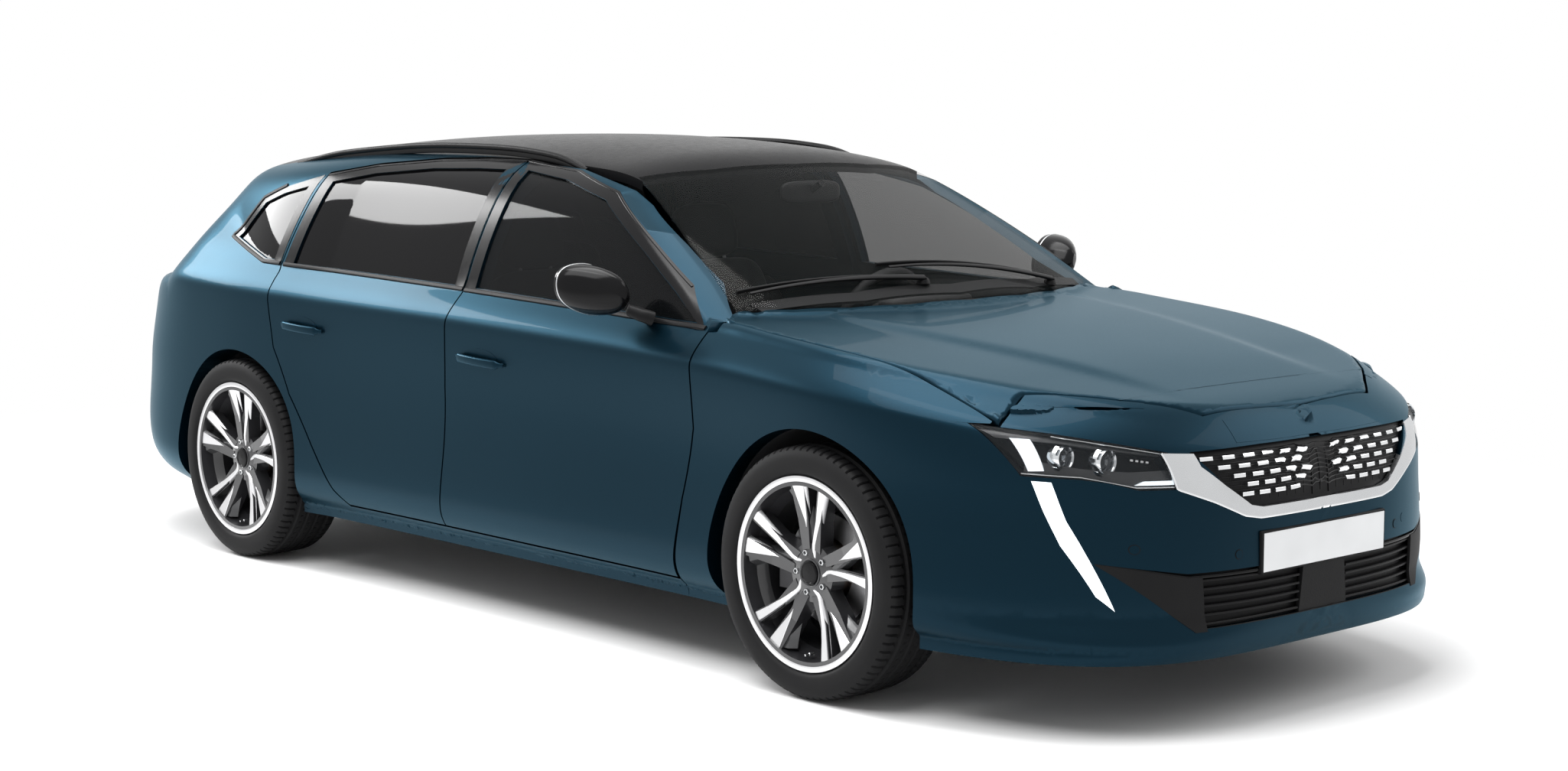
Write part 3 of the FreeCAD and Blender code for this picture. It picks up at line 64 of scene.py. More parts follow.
class Curve:
    """A natural cubic spline through (place, value) shares, straight beyond its ends, for whole arrays."""

    def __init__(self, shares, place_size, value_size):
        self.places, self.values = np.array(shares, float).T * [[place_size], [value_size]]
        self.spans = np.diff(self.places)
        count = len(shares)
        system = np.eye(count)
        right = np.zeros(count)
        for i in range(1, count - 1):
            system[i, i - 1:i + 2] = self.spans[i - 1], 2 * (self.spans[i - 1] + self.spans[i]), self.spans[i]
        right[1:-1] = 6 * np.diff(np.diff(self.values) / self.spans)
        self.bends = np.linalg.solve(system, right)
        first, last = self.spans[0], self.spans[-1]
        self.slopes = ((self.values[1] - self.values[0]) / first - first * self.bends[1] / 6,
                       (self.values[-1] - self.values[-2]) / last + last * self.bends[-2] / 6)

    def __call__(self, place):
        t, v, m = self.places, self.values, self.bends
        inside = np.clip(place, t[0], t[-1])
        i = np.clip(np.searchsorted(t, inside) - 1, 0, len(t) - 2)
        h = self.spans[i]
        a = t[i + 1] - inside
        b = inside - t[i]
        value = (m[i] * a ** 3 + m[i + 1] * b ** 3) / (6 * h)
        value += (v[i] / h - m[i] * h / 6) * a + (v[i + 1] / h - m[i + 1] * h / 6) * b
        beyond = place - inside
        return value + np.where(beyond < 0, self.slopes[0], self.slopes[1]) * beyond


plan = Curve([(-0.5023, 0.9521), (-0.3977, 0.9769), (-0.2972, 0.9919), (-0.2093, 0.9758), (-0.0628, 0.9683),
              (0.0837, 0.9693), (0.2093, 0.9812), (0.2886, 0.9973), (0.3663, 0.9876), (0.4395, 0.9607),
              (0.5023, 0.9306)], LENGTH, HALF)
side = Curve([(0.1056, 0.1614), (0.1444, 0.0861), (0.1655, 0.0409), (0.1845, 0.0172), (0.2113, 0.0022),
              (0.2465, 0.0), (0.3028, 0.0075), (0.3803, 0.0172), (0.4577, 0.0183), (0.5352, 0.0108),
              (0.5986, 0.0032), (0.6211, 0.0054), (0.6423, 0.0237), (0.6761, 0.0667), (0.7042, 0.1033),
              (0.7746, 0.2152)], HEIGHT, HALF)
belt = Curve([(-0.4814, 0.5352), (-0.3872, 0.588), (-0.2972, 0.6254), (-0.2005, 0.6521), (-0.0576, 0.6725),
              (0.0326, 0.6817), (0.2357, 0.6972), (0.3139, 0.7077), (0.5, 0.7324)], LENGTH, HEIGHT)
nose = Curve([(0.1056, -0.4887), (0.1408, -0.4964), (0.1972, -0.4998), (0.2817, -0.5), (0.3662, -0.4994),
              (0.4366, -0.4979), (0.4887, -0.4937), (0.5211, -0.4877), (0.5493, -0.4801),
              (0.5775, -0.4688), (0.6338, -0.4353)], HEIGHT, LENGTH)
tail = Curve([(0.1056, 0.4353), (0.1479, 0.4563), (0.1972, 0.4793), (0.2394, 0.4918), (0.2958, 0.4994),
              (0.3662, 0.4998), (0.4507, 0.4964), (0.5352, 0.4944), (0.6197, 0.4939), (0.6549, 0.4918),
              (0.7042, 0.4887)], HEIGHT, LENGTH)
roof = Curve([(-0.1465, 0.9282), (-0.0837, 0.9655), (-0.0419, 0.981), (0.0, 0.9915), (0.0628, 1.0),
              (0.1256, 1.0), (0.2093, 0.9908), (0.293, 0.9704), (0.3767, 0.9394), (0.4395, 0.9113)],
             LENGTH, HEIGHT)
hood_line = Curve([(-0.5023, 0.5176), (-0.4801, 0.5535), (-0.45, 0.5803), (-0.4081, 0.6085),
                   (-0.3558, 0.6359), (-0.293, 0.6613), (-0.2365, 0.6796), (-0.1884, 0.6937),
                   (0.0, 0.6761), (0.3139, 0.6761), (0.5, 0.6444)], LENGTH, HEIGHT)
tumble = Curve([(-0.0704, -0.0323), (0.0, 0.0), (0.0704, 0.0387), (0.1408, 0.0882), (0.2113, 0.1528),
                (0.2676, 0.2281), (0.3169, 0.3228)], HEIGHT, HALF)
taper = Curve([(0.1884, 0.0), (0.2721, 0.006), (0.3349, 0.06), (0.3977, 0.105), (0.45, 0.12),
               (0.5, 0.18)], LENGTH, HALF)
form_shares = {
    "front_start": -0.2721, "rear_start": 0.3349, "knee": 0.3521, "belt_line": 0.6796, "glass_step": 0.0043,
    "glass_low": -0.0423, "edge": 0.0086, "rear_edge": 0.0861, "rear_edge_from": 0.2825,
    "rear_edge_to": 0.3977,
    "crown": 0.008, "crown_at": 0.8069, "ridge": 0.0108, "ridge_blend": 0.0151, "ridge_front": 0.355,
    "ridge_spread": 0.1829, "ridge_from": -0.4709, "ridge_to": -0.2302, "ridge_fade": -0.3977,
    "roof_crown": 0.0645, "roof_crown_at": 0.6455, "screen_base": -0.2365, "screen_sweep": 0.0419,
    "screen_at": 0.7897, "screen_height": 0.6937, "screen_bend": 0.1136, "back_height": 0.6479,
    "back_base": 0.5, "back_sweep": 0.07, "back_at": 0.7531, "screen_round": 0.0423,
    "back_round": 0.0493, "shoulder_round": 0.05, "screen_shoulder": 0.0538, "shoulder_from": -0.2302,
    "shoulder_to": -0.1884, "side_centre": 0.3765, "side_centre_height": 0.493, "taper_from": 0.1884,
    "power_low": 0.4366, "power_high": 0.6479, "lip_low": 0.1408, "lip_high": 0.2183,
}
front_powers = {"low": 3.04, "high": 2.72, "lip": 0.8}
rear_powers = {"low": 3.4, "high": 2.6, "lip": 0.0}
screen_slope = 0.56
back_slope = 0.78
crown_power = 2.2
roof_crown_power = 2.4


def along(label):
    return form_shares[label] * LENGTH


def across(label):
    return form_shares[label] * HALF


def upward(label):
    return form_shares[label] * HEIGHT


def smooth_max(a, b, reach):
    near = np.maximum(reach - np.abs(a - b), 0.0) / reach
    return np.maximum(a, b) + near ** 3 * reach / 6


def smooth_min(a, b, reach):
    return -smooth_max(-a, -b, reach)


def blend(place, start, end):
    t = np.clip((place - start) / (end - start), 0.0, 1.0)
    return t * t * (3 - 2 * t)


def end_power(powers, z):
    """The superellipse's power at a height: fuller corners low down, fullest at the lip."""
    high = blend(z, upward("power_low"), upward("power_high"))
    lip = 1 - blend(z, upward("lip_low"), upward("lip_high"))
    return powers["low"] + (powers["high"] - powers["low"]) * high + powers["lip"] * lip


def end_share(y, z):
    """How much of the full width is left where nose and tail close: (1 - t^p)^(1/p) towards each end."""
    front_start = along("front_start")
    rear_start = along("rear_start")
    t = np.clip((front_start - y) / np.maximum(front_start - nose(z), 0.1), 0.0, 1.0)
    power = end_power(front_powers, z)
    front = (1 - t ** power) ** (1 / power)
    t = np.clip((y - rear_start) / (tail(z) - rear_start), 0.0, 1.0)
    power = end_power(rear_powers, z)
    return front * (1 - t ** power) ** (1 / power)


def side_half_width(y, z):
    knee = upward("knee")
    raised = knee + (z - knee) * (upward("belt_line") - knee) / (belt(y) - knee)
    lower = plan(y) - side(np.where(z > knee, raised, z))
    above = np.maximum(z - belt(y), upward("glass_low"))
    inset = side(np.array(upward("belt_line"))) + across("glass_step")
    upper = plan(y) - inset - tumble(above) - taper(np.maximum(y, along("taper_from")))
    reach = across("edge") + across("rear_edge") * blend(y, along("rear_edge_from"), along("rear_edge_to"))
    return smooth_max(lower, upper, reach) * end_share(y, z)


def hood_height(x, y):
    crown = across("crown") * (np.abs(x) / across("crown_at")) ** crown_power
    spread = blend(y, along("ridge_from"), along("ridge_to"))
    ridge_at = across("ridge_front") + across("ridge_spread") * spread
    ridge = across("ridge") / (1 + np.exp(-(np.abs(x) - ridge_at) / across("ridge_blend")))
    return hood_line(y) - crown - ridge * blend(y, along("ridge_from"), along("ridge_fade"))


def top_height(x, y):
    crown = across("roof_crown") * (np.abs(x) / across("roof_crown_at")) ** roof_crown_power
    back = y - along("screen_base") - along("screen_sweep") * (np.abs(x) / across("screen_at")) ** 2
    bend = upward("screen_bend") * back * np.abs(back) / HEIGHT ** 2
    screen = upward("screen_height") + screen_slope * back - bend
    rear_edge = along("back_base") - along("back_sweep") * (np.abs(x) / across("back_at")) ** 2
    rear_glass = upward("back_height") + back_slope * (rear_edge - y)
    top = smooth_min(roof(y) - crown, screen, upward("screen_round"))
    top = smooth_min(top, rear_glass, upward("back_round"))
    return np.maximum(top, hood_height(x, y))


def form(points):
    """The body's outer skin as a level: below zero inside, about metres from the skin near it."""
    x, y, z = points.T
    from_side = np.abs(x) - side_half_width(y, z)
    from_top = z - top_height(x, y)
    reach = across("shoulder_round")
    reach = reach + across("screen_shoulder") * blend(y, along("shoulder_from"), along("shoulder_to"))
    return smooth_max(from_side, from_top, reach)


def slope(points, step=0.0004):
    """The form's gradient, by differences of whole arrays along the three axes."""
    return np.stack([(form(points + way) - form(points - way)) / (2 * step) for way in np.eye(3) * step], 1)


def unit(vectors):
    return vectors / np.maximum(np.linalg.norm(vectors, axis=1, keepdims=True), 1e-12)


def on_skin(points, level=0.0, rounds=4):
    """The points moved along the gradient until the form is zero, then along the unit normal by the level."""
    for _ in range(rounds):
        gradient = slope(points)
        points = points - gradient * (form(points) / (gradient ** 2).sum(1))[:, None]
    return points + unit(slope(points)) * level


def height_over_skin(points):
    """How far off the skin the points lie: form / |gradient|."""
    return form(points) / np.linalg.norm(slope(points), axis=1)


def cast(origins, directions, reach, steps=40):
    """Where rays from inside leave the skin: stepped inwards from the reach, then halved, all at once."""
    directions = np.broadcast_to(directions, origins.shape)
    outer = np.full(len(origins), float(reach))
    inner = np.zeros(len(origins))
    open_rays = np.ones(len(origins), bool)
    for share in np.linspace(1, 0, steps)[1:]:
        hit = open_rays & (form(origins + directions * reach * share) < 0)
        inner[hit] = reach * share
        open_rays &= ~hit
        outer[open_rays] = reach * share
    for _ in range(18):
        middle = (inner + outer) / 2
        within = form(origins + directions * middle[:, None]) < 0
        inner = np.where(within, middle, inner)
        outer = np.where(within, outer, middle)
    return origins + directions * ((inner + outer) / 2)[:, None]


def projection(axis, start, way, reach):
    """A map from flat places to the skin: rays leave the start along one axis; a level lifts the points."""
    def project(outline, level=0.0):
        origins = np.insert(np.asarray(outline, float), axis, start, 1)
        points = cast(origins, np.eye(3)[axis] * way, reach)
        return points if level == 0 else on_skin(points, level)
    return project


# Places are (y, z) on a side, (x, z) on nose and tail, (x, y) on top.
side_points = {sign: projection(0, 0.0, sign, HALF * 1.2) for label, sign in SIDES}
nose_points = projection(1, FRONT_AXLE, -1, LENGTH * 0.3)
tail_points = projection(1, LENGTH * 0.3, 1, LENGTH * 0.3)
top_points = projection(2, HEIGHT * 0.3, 1, HEIGHT * 0.75)


# Mesh making.
def fit(points, count, closed=False):
    """The path through the points as that many points at even distances."""
    path = np.asarray(points, float)
    if closed:
        path = np.vstack([path, path[:1]])
    reach = np.concatenate([[0], np.cumsum(np.linalg.norm(np.diff(path, axis=0), axis=1))])
    wanted = np.linspace(0, reach[-1], count + 1)[:-1] if closed else np.linspace(0, reach[-1], count)
    return np.column_stack([np.interp(wanted, reach, path[:, k]) for k in range(path.shape[1])])


def softened(points, rounds=2, closed=False):
    """The path with its corners cut by halving, which draws near a quadratic curve."""
    path = np.asarray(points, float)
    for _ in range(rounds):
        if closed:
            after = np.roll(path, -1, 0)
            cut = np.stack([path * 0.75 + after * 0.25, path * 0.25 + after * 0.75], 1)
            path = cut.reshape(-1, path.shape[1])
        else:
            before, after = path[:-1], path[1:]
            inner = np.stack([before * 0.75 + after * 0.25, before * 0.25 + after * 0.75], 1)
            path = np.vstack([path[:1], inner.reshape(-1, path.shape[1])[1:-1], path[-1:]])
    return path


def grid_faces(rows, columns, wrap_rows=False, wrap_columns=False):
    """Quads of a rows by columns grid of vertices, as whole arrays."""
    i = np.arange(rows if wrap_rows else rows - 1)
    j = np.arange(columns if wrap_columns else columns - 1)
    a = i[:, None] * columns + j
    b = i[:, None] * columns + (j + 1) % columns
    c = ((i + 1) % rows)[:, None] * columns + (j + 1) % columns
    d = ((i + 1) % rows)[:, None] * columns + j
    return np.stack([a, b, c, d], -1).reshape(-1, 4)


def joined(parts):
    """Several (vertices, faces) pairs as one; faces are lists of equal-length index arrays."""
    vertices = []
    faces = []
    start = 0
    for points, quads in parts:
        vertices.append(points)
        faces += [np.asarray(q) + start for q in (quads if isinstance(quads, list) else [quads])]
        start += len(points)
    return np.vstack(vertices), faces


def make(name, finish, parts, body="body", replaces=(), smooth=40.0, weld=False, outward=True):
    """A mesh object of (vertices, faces) parts in its finish, riding on its body."""
    points, groups = joined(parts)
    groups = [g for g in groups if len(g)]
    corners = np.concatenate([g.ravel() for g in groups]).astype(np.int32)
    sizes = np.concatenate([np.full(len(g), g.shape[1]) for g in groups])
    mesh = bpy.data.meshes.new(name)
    mesh.vertices.add(len(points))
    mesh.vertices.foreach_set("co", np.ascontiguousarray(points, np.float32).ravel())
    mesh.loops.add(len(corners))
    mesh.loops.foreach_set("vertex_index", corners)
    mesh.polygons.add(len(sizes))
    mesh.polygons.foreach_set("loop_start", np.concatenate([[0], np.cumsum(sizes)[:-1]]).astype(np.int32))
    mesh.update(calc_edges=True)
    mesh.validate()
    if weld or outward:
        working = bmesh.new()
        working.from_mesh(mesh)
        if weld:
            bmesh.ops.remove_doubles(working, verts=working.verts, dist=1e-6)
        bmesh.ops.recalc_face_normals(working, faces=working.faces)
        working.to_mesh(mesh)
        working.free()
    mesh.shade_smooth()
    if smooth is not None:
        mesh.set_sharp_from_angle(angle=math.radians(smooth))
    piece = bpy.data.objects.new(name, mesh)
    bpy.context.scene.collection.objects.link(piece)
    mesh.materials.append(finishes[finish])
    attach(piece, body)
    if replaces:
        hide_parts(*replaces)
    return piece


def caps(rows, columns):
    """End faces of a tube of rows rings: one polygon at each end."""
    return [np.arange(columns)[::-1][None], (np.arange(columns) + (rows - 1) * columns)[None]]


def sweep(path, profile, ups, closed=False, scale=None):
    """A closed profile carried along a path: each ring lies across it, with its second axis along the ups."""
    path = np.asarray(path, float)
    ups = np.broadcast_to(np.asarray(ups, float), path.shape)
    ways = unit(np.roll(path, -1, 0) - np.roll(path, 1, 0) if closed else np.gradient(path, axis=0))
    sides = unit(np.cross(ways, ups))
    ups = unit(np.cross(sides, ways))
    factor = 1.0 if scale is None else np.asarray(scale, float)[:, None, None]
    flat = sides[:, None] * profile[None, :, :1] + ups[:, None] * profile[None, :, 1:]
    rings = path[:, None] + factor * flat
    rows, columns = rings.shape[:2]
    faces = [grid_faces(rows, columns, wrap_rows=closed, wrap_columns=True)]
    return rings.reshape(-1, 3), faces + ([] if closed else caps(rows, columns))


def circle(first, second, radius, other=None, count=24):
    """Places round a circle, or an ellipse where the other half axis is given."""
    turn = np.linspace(0, 2 * np.pi, count, endpoint=False)
    return np.column_stack([first + np.cos(turn) * radius, second + np.sin(turn) * (other or radius)])


def bar_profile(width, height, round_share=0.3, steps=3):
    """A rectangle with round corners, centred."""
    radius = min(width, height) * round_share
    corners = []
    for k, (sx, sy) in enumerate(((1, 1), (-1, 1), (-1, -1), (1, -1))):
        turn = np.linspace(k * np.pi / 2, (k + 1) * np.pi / 2, steps)
        middle = np.array([sx * (width / 2 - radius), sy * (height / 2 - radius)])
        corners.append(middle + radius * np.column_stack([np.cos(turn), np.sin(turn)]))
    return np.vstack(corners)


def turned(profile, centre, axis="x", count=64, start=0.0, end=2 * math.pi):
    """A closed profile of (along, radius) turned about an axis through the centre: place = along the axis +
    radius round it."""
    profile = np.asarray(profile, float)
    full = abs(end - start - 2 * math.pi) < 1e-6
    turn = np.linspace(start, end, count, endpoint=not full)
    along_axis = np.broadcast_to(profile[None, :, 0], (count, len(profile)))
    first = np.cos(turn)[:, None] * profile[None, :, 1]
    second = np.sin(turn)[:, None] * profile[None, :, 1]
    columns = {"x": (along_axis, first, second), "y": (second, along_axis, first),
               "z": (first, second, along_axis)}
    points = np.stack(columns[axis], -1).reshape(-1, 3) + np.asarray(centre, float)
    return points, [grid_faces(count, len(profile), wrap_rows=full, wrap_columns=True)]


def block(low, high, bevel=0.0):
    """A box with chamfered edges: each face is a square set in by the bevel, joined by strips and corners."""
    low, high = np.asarray(low, float), np.asarray(high, float)
    signs = np.array([(x, y, z) for x in (-1, 1) for y in (-1, 1) for z in (-1, 1)], float)
    points = np.vstack([(low + high) / 2 + signs * ((high - low) / 2 - bevel * (1 - axis))
                        for axis in np.eye(3)])

    def corner(face, axes, values):
        sign = [0, 0, 0]
        for axis, value in zip(axes, values):
            sign[axis] = value
        return face * 8 + (sign[0] + 1) * 2 + (sign[1] + 1) + (sign[2] + 1) // 2

    quads = []
    for k in range(3):
        a, b = [i for i in range(3) if i != k]
        for s in (-1, 1):
            quads.append([corner(k, (k, a, b), (s, sa, sb))
                          for sa, sb in ((-1, -1), (1, -1), (1, 1), (-1, 1))])
        for sa in (-1, 1):
            for sb in (-1, 1):
                quads.append([corner(which, (k, a, b), (s, sa, sb)) for s, which in
                              ((-1, a), (1, a), (1, b), (-1, b))])
    triangles = np.arange(8)[:, None] + np.arange(3) * 8
    return points, [np.array(quads), triangles]


def moved(part, move=(0, 0, 0), turn=np.eye(3)):
    """A (vertices, faces) part turned by a 3 by 3 matrix and moved."""
    points, faces = part
    return points @ turn.T + np.asarray(move, float), faces


def flipped(part):
    """The part mirrored across the car's middle plane, with its faces turned back outwards."""
    points, faces = part
    return points * [-1, 1, 1], [np.asarray(f)[:, ::-1] for f in faces]


def rotation(axis, degrees):
    return np.array(Matrix.Rotation(math.radians(degrees), 3, Vector(axis)))


def split_long_edges(points, triangles, longest, wanted):
    """Halves each long edge between wanted vertices and rebuilds the triangles round its middle."""
    edges = np.sort(np.stack([triangles, np.roll(triangles, -1, 1)], 2).reshape(-1, 2), 1)
    single, which = np.unique(edges, axis=0, return_inverse=True)
    reach = np.linalg.norm(points[single[:, 0]] - points[single[:, 1]], axis=1)
    chosen = (reach > longest) & wanted[single].all(1)
    middle = np.full(len(single), -1)
    middle[chosen] = len(points) + np.arange(chosen.sum())
    points = np.vstack([points, points[single[chosen]].mean(1)])
    wanted = np.concatenate([wanted, np.ones(chosen.sum(), bool)])
    cuts = middle[which.reshape(-1)].reshape(-1, 3)
    count = (cuts >= 0).sum(1)
    # One cut edge is turned to the front; of two, the whole edge is turned to the back.
    lead = np.where(count == 1, np.argmax(cuts >= 0, 1), 0)
    lead = np.where(count == 2, (np.argmin(cuts, 1) + 1) % 3, lead)
    order = (np.arange(3) + lead[:, None]) % 3
    t = np.take_along_axis(triangles, order, 1)
    m = np.take_along_axis(cuts, order, 1)
    one, two, three = (count == 1), (count == 2), (count == 3)
    a, b, c = t.T
    p, q, r = m.T
    result = [t[count == 0]]
    result += [np.stack(f, 1)[one] for f in ((a, p, c), (p, b, c))]
    result += [np.stack(f, 1)[two] for f in ((p, b, q), (a, p, q), (a, q, c))]
    result += [np.stack(f, 1)[three] for f in ((a, p, r), (p, b, q), (r, q, c), (p, q, r))]
    return points, np.vstack(result), wanted


def node_mesh(node):
    """A CAD node's vertices, welded, and its triangles."""
    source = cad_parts[node].data
    source.calc_loop_triangles()
    points = np.empty(len(source.vertices) * 3)
    source.vertices.foreach_get("co", points)
    triangles = np.empty(len(source.loop_triangles) * 3, np.int32)
    source.loop_triangles.foreach_get("vertices", triangles)
    points = points.reshape(-1, 3)
    _, first, which = np.unique(np.round(points, 6), axis=0, return_index=True, return_inverse=True)
    triangles = which.reshape(-1)[triangles].reshape(-1, 3)
    triangles = triangles[(triangles != np.roll(triangles, 1, 1)).all(1)]
    return points[first], triangles


def face_normals(points, triangles):
    corner = points[triangles]
    return unit(np.cross(corner[:, 1] - corner[:, 0], corner[:, 2] - corner[:, 0]))


def skin_piece(name, node, finish, body="body", level=0.0, longest=None):
    """A CAD panel made fine: its outer triangles are split, laid on the form and given the form's normals."""
    longest = longest or bpy.context.scene.wagon_look.skin_edge
    points, triangles = node_mesh(node)
    gradient = unit(slope(points))
    facing = (face_normals(points, triangles)[:, None] * gradient[triangles]).sum(-1).min(1)
    near = np.abs(height_over_skin(points) - level)[triangles].max(1)
    wanted = np.zeros(len(points), bool)
    wanted[triangles[(facing > 0.6) & (near < 0.004)]] = True
    for _ in range(6):
        before = len(points)
        points, triangles, wanted = split_long_edges(points, triangles, longest, wanted)
        if len(points) == before:
            break
    points[wanted] = on_skin(points[wanted], level)
    gradient = unit(slope(points))
    normals = np.repeat(face_normals(points, triangles)[:, None], 3, 1)
    facing = (normals * gradient[triangles]).sum(-1, keepdims=True)
    normals = np.where(facing > 0.82, gradient[triangles], normals)
    normals = np.where(facing < -0.82, -gradient[triangles], normals)
    piece = make(name, finish, [(points, triangles)], body, [node], smooth=None, outward=False)
    if len(piece.data.loops) == normals.size // 3:
        piece.data.normals_split_custom_set(normals.reshape(-1, 3).tolist())


# Shader maths.
class Value:
    """A shader socket that takes part in Python expressions; each operation adds a Math node."""

    def __init__(self, tree, socket):
        self.tree = tree
        self.socket = socket

    def maths(self, operation, *others):
        node = self.tree.nodes.new("ShaderNodeMath")
        node.operation = operation
        for place, other in enumerate((self,) + others):
            wire(self.tree, node.inputs[place], other)
        return Value(self.tree, node.outputs[0])

    def __add__(self, other):
        return self.maths("ADD", other)

    def __sub__(self, other):
        return self.maths("SUBTRACT", other)

    def __rsub__(self, other):
        return (self * -1) + other

    def __mul__(self, other):
        return self.maths("MULTIPLY", other)

    def __pow__(self, other):
        return self.maths("POWER", other)

    __radd__ = __add__
    __rmul__ = __mul__

    def step(self, start, end):
        """0 before start, 1 after end, smooth between, through a Map Range node."""
        node = self.tree.nodes.new("ShaderNodeMapRange")
        node.interpolation_type = "SMOOTHSTEP"
        for name, value in (("Value", self), ("From Min", start), ("From Max", end)):
            wire(self.tree, node.inputs[name], value)
        return Value(self.tree, node.outputs["Result"])


def wire(tree, socket, value):
    """Links a socket or Value, or sets a number, colour or vector."""
    if isinstance(value, Value):
        tree.links.new(value.socket, socket)
    elif isinstance(value, bpy.types.NodeSocket):
        tree.links.new(value, socket)
    elif isinstance(value, (tuple, list)):
        socket.default_value = (tuple(value) + (1.0,))[:len(socket.default_value)]
    else:
        socket.default_value = value


def scaled(colour, factor):
    return tuple(c * factor for c in colour)


class Finish:
    """One material: a Principled surface whose sockets are given by name, and the nodes behind them."""

    def __init__(self, name, **sockets):
        self.material = bpy.data.materials.new(name)
        self.material.use_nodes = True
        self.tree = self.material.node_tree
        self.surface = self.tree.nodes["Principled BSDF"]
        self.place = self.node("TexCoord").outputs["Object"]
        self.set(**sockets)

    def node(self, kind, settings=None, **sockets):
        """A node of that type with its settings made first and its sockets set or linked after."""
        node = self.tree.nodes.new("ShaderNode" + kind)
        for key, value in (settings or {}).items():
            setattr(node, key, value)
        for key, value in sockets.items():
            wire(self.tree, node.inputs[key.replace("_", " ")], value)
        return node

    def set(self, **sockets):
        for key, value in sockets.items():
            wire(self.tree, self.surface.inputs[key.replace("_", " ")], value)

    def axes(self):
        """The object place as three values."""
        parts = self.node("SeparateXYZ", Vector=self.place)
        return [Value(self.tree, parts.outputs[k]) for k in range(3)]

    def noise(self, scale, detail=2.0):
        node = self.node("TexNoise", Vector=self.place, Scale=scale, Detail=detail)
        return Value(self.tree, node.outputs["Fac"])

    def cells(self, scale):
        return Value(self.tree, self.node("TexVoronoi", Vector=self.place, Scale=scale).outputs["Distance"])

    def mix(self, factor, first, second):
        """A colour between two, by a Mix node."""
        node = self.node("Mix", {"data_type": "RGBA"})
        for key, value in (("Factor", factor), (6, first), (7, second)):
            wire(self.tree, node.inputs[key], value)
        return node.outputs[2]

    def bump(self, height, depth=0.001, strength=1.0):
        self.set(Normal=self.node("Bump", Height=height, Distance=depth, Strength=strength).outputs["Normal"])


def paint_finish(name, colour):
    """Metallic paint: fine flakes vary colour and roughness under a clear coat."""
    finish = Finish(name, Metallic=0.85, Coat_Weight=0.12, Coat_Roughness=0.02, Coat_IOR=1.35,
                    Coat_Tint=(0.75, 0.93, 1.0), Specular_Tint=(0.62, 0.86, 1.0))
    flakes = finish.cells(900.0)
    drift = finish.noise(2.2, 3.0)
    bright = tuple(min(c * 1.35 + 0.0006, 1.0) for c in colour)
    finish.set(Base_Color=finish.mix(flakes.step(0.25, 0.6) * 0.55, bright, colour),
               Roughness=0.3 + flakes * 0.12 + (drift - 0.5) * 0.04)
    return finish.material


def plain_finish(name, colour, roughness, metallic=0.0, scale=300.0, depth=0.0002, coat=0.0, specular=0.5):
    """A moulded or cast surface: noise varies colour and roughness and lifts a fine grain."""
    spread = 0.12
    finish = Finish(name, Metallic=metallic, Coat_Weight=coat, Coat_Roughness=0.05,
                    Specular_IOR_Level=specular)
    grain = finish.noise(scale, 4.0)
    wear = finish.noise(scale / 40.0)
    finish.set(Base_Color=finish.mix(wear, scaled(colour, 1 - spread), scaled(colour, 1 + spread * 1.6)),
               Roughness=roughness + (grain - 0.5) * spread)
    finish.bump(grain, depth)
    return finish.material


def glass_finish(name, colour, opacity):
    """Thin automotive glass: clear or tinted over what is behind, with a faint smear in its gloss."""
    finish = Finish(name, Base_Color=colour, IOR=1.5, Specular_IOR_Level=0.12)
    smear = finish.noise(3.0)
    finish.set(Alpha=opacity + (smear - 0.5) * 0.02, Roughness=0.02 + smear * 0.01)
    finish.material.surface_render_method = "BLENDED"
    return finish.material


def metal_finish(name, colour, roughness, brushed=0.0):
    """Bright metal: fine brushing or polish marks in roughness and bump."""
    finish = Finish(name, Metallic=1.0)
    marks = finish.noise(500.0, 3.0)
    finish.set(Base_Color=finish.mix(finish.noise(12.0), scaled(colour, 0.88), colour),
               Roughness=roughness + (marks - 0.5) * (0.08 + brushed))
    finish.bump(marks, 0.00005 + brushed * 0.0005)
    return finish.material


def disc_finish(name):
    """A turned brake disc: fine rings round the axle, seen as bands of roughness."""
    finish = Finish(name, Metallic=1.0)
    x, y, z = finish.axes()
    front = (y - FRONT_AXLE) * (y - FRONT_AXLE)
    rear = (y - REAR_AXLE) * (y - REAR_AXLE)
    radius = (front.maths("MINIMUM", rear) + (z - AXLE_Z) * (z - AXLE_Z)) ** 0.5
    rings = (radius * 2600.0).maths("SINE")
    finish.set(Base_Color=finish.mix(radius.step(0.085, 0.088), (0.09, 0.075, 0.065), (0.46, 0.46, 0.47)),
               Roughness=0.34 + rings * 0.06)
    finish.bump(rings, 0.0001)
    return finish.material


def tyre_finish(name):
    """Rubber: fine grain, a little dust in patches."""
    finish = Finish(name, Specular_IOR_Level=0.12)
    grain = finish.noise(700.0, 4.0)
    dust = finish.noise(9.0, 3.0)
    finish.set(Base_Color=finish.mix(dust, (0.005, 0.005, 0.0055), (0.012, 0.012, 0.0125)),
               Roughness=0.55 + (grain - 0.5) * 0.2 + dust * 0.1)
    finish.bump(grain, 0.0002)
    return finish.material


def glow_finish(name, colour, strength):
    """A lit light guide: an even glow with faint cells of the diffuser behind."""
    finish = Finish(name, Roughness=0.2, Coat_Weight=1.0, Coat_Roughness=0.03, Emission_Strength=strength,
                    Base_Color=colour)
    finish.set(Emission_Color=finish.mix(finish.cells(260.0), colour, scaled(colour, 0.85)))
    return finish.material


def lens_finish(name, colour, opacity):
    """A coloured lamp lens with fine flutes behind its gloss."""
    finish = Finish(name, Roughness=0.05, Coat_Weight=1.0, Coat_Roughness=0.02, Alpha=opacity)
    flutes = (finish.axes()[0] * 900.0).maths("SINE") * 0.5 + 0.5
    finish.set(Base_Color=finish.mix(flutes, colour, scaled(colour, 0.6)))
    finish.bump(flutes, 0.0003, 0.4)
    finish.material.surface_render_method = "BLENDED"
    return finish.material


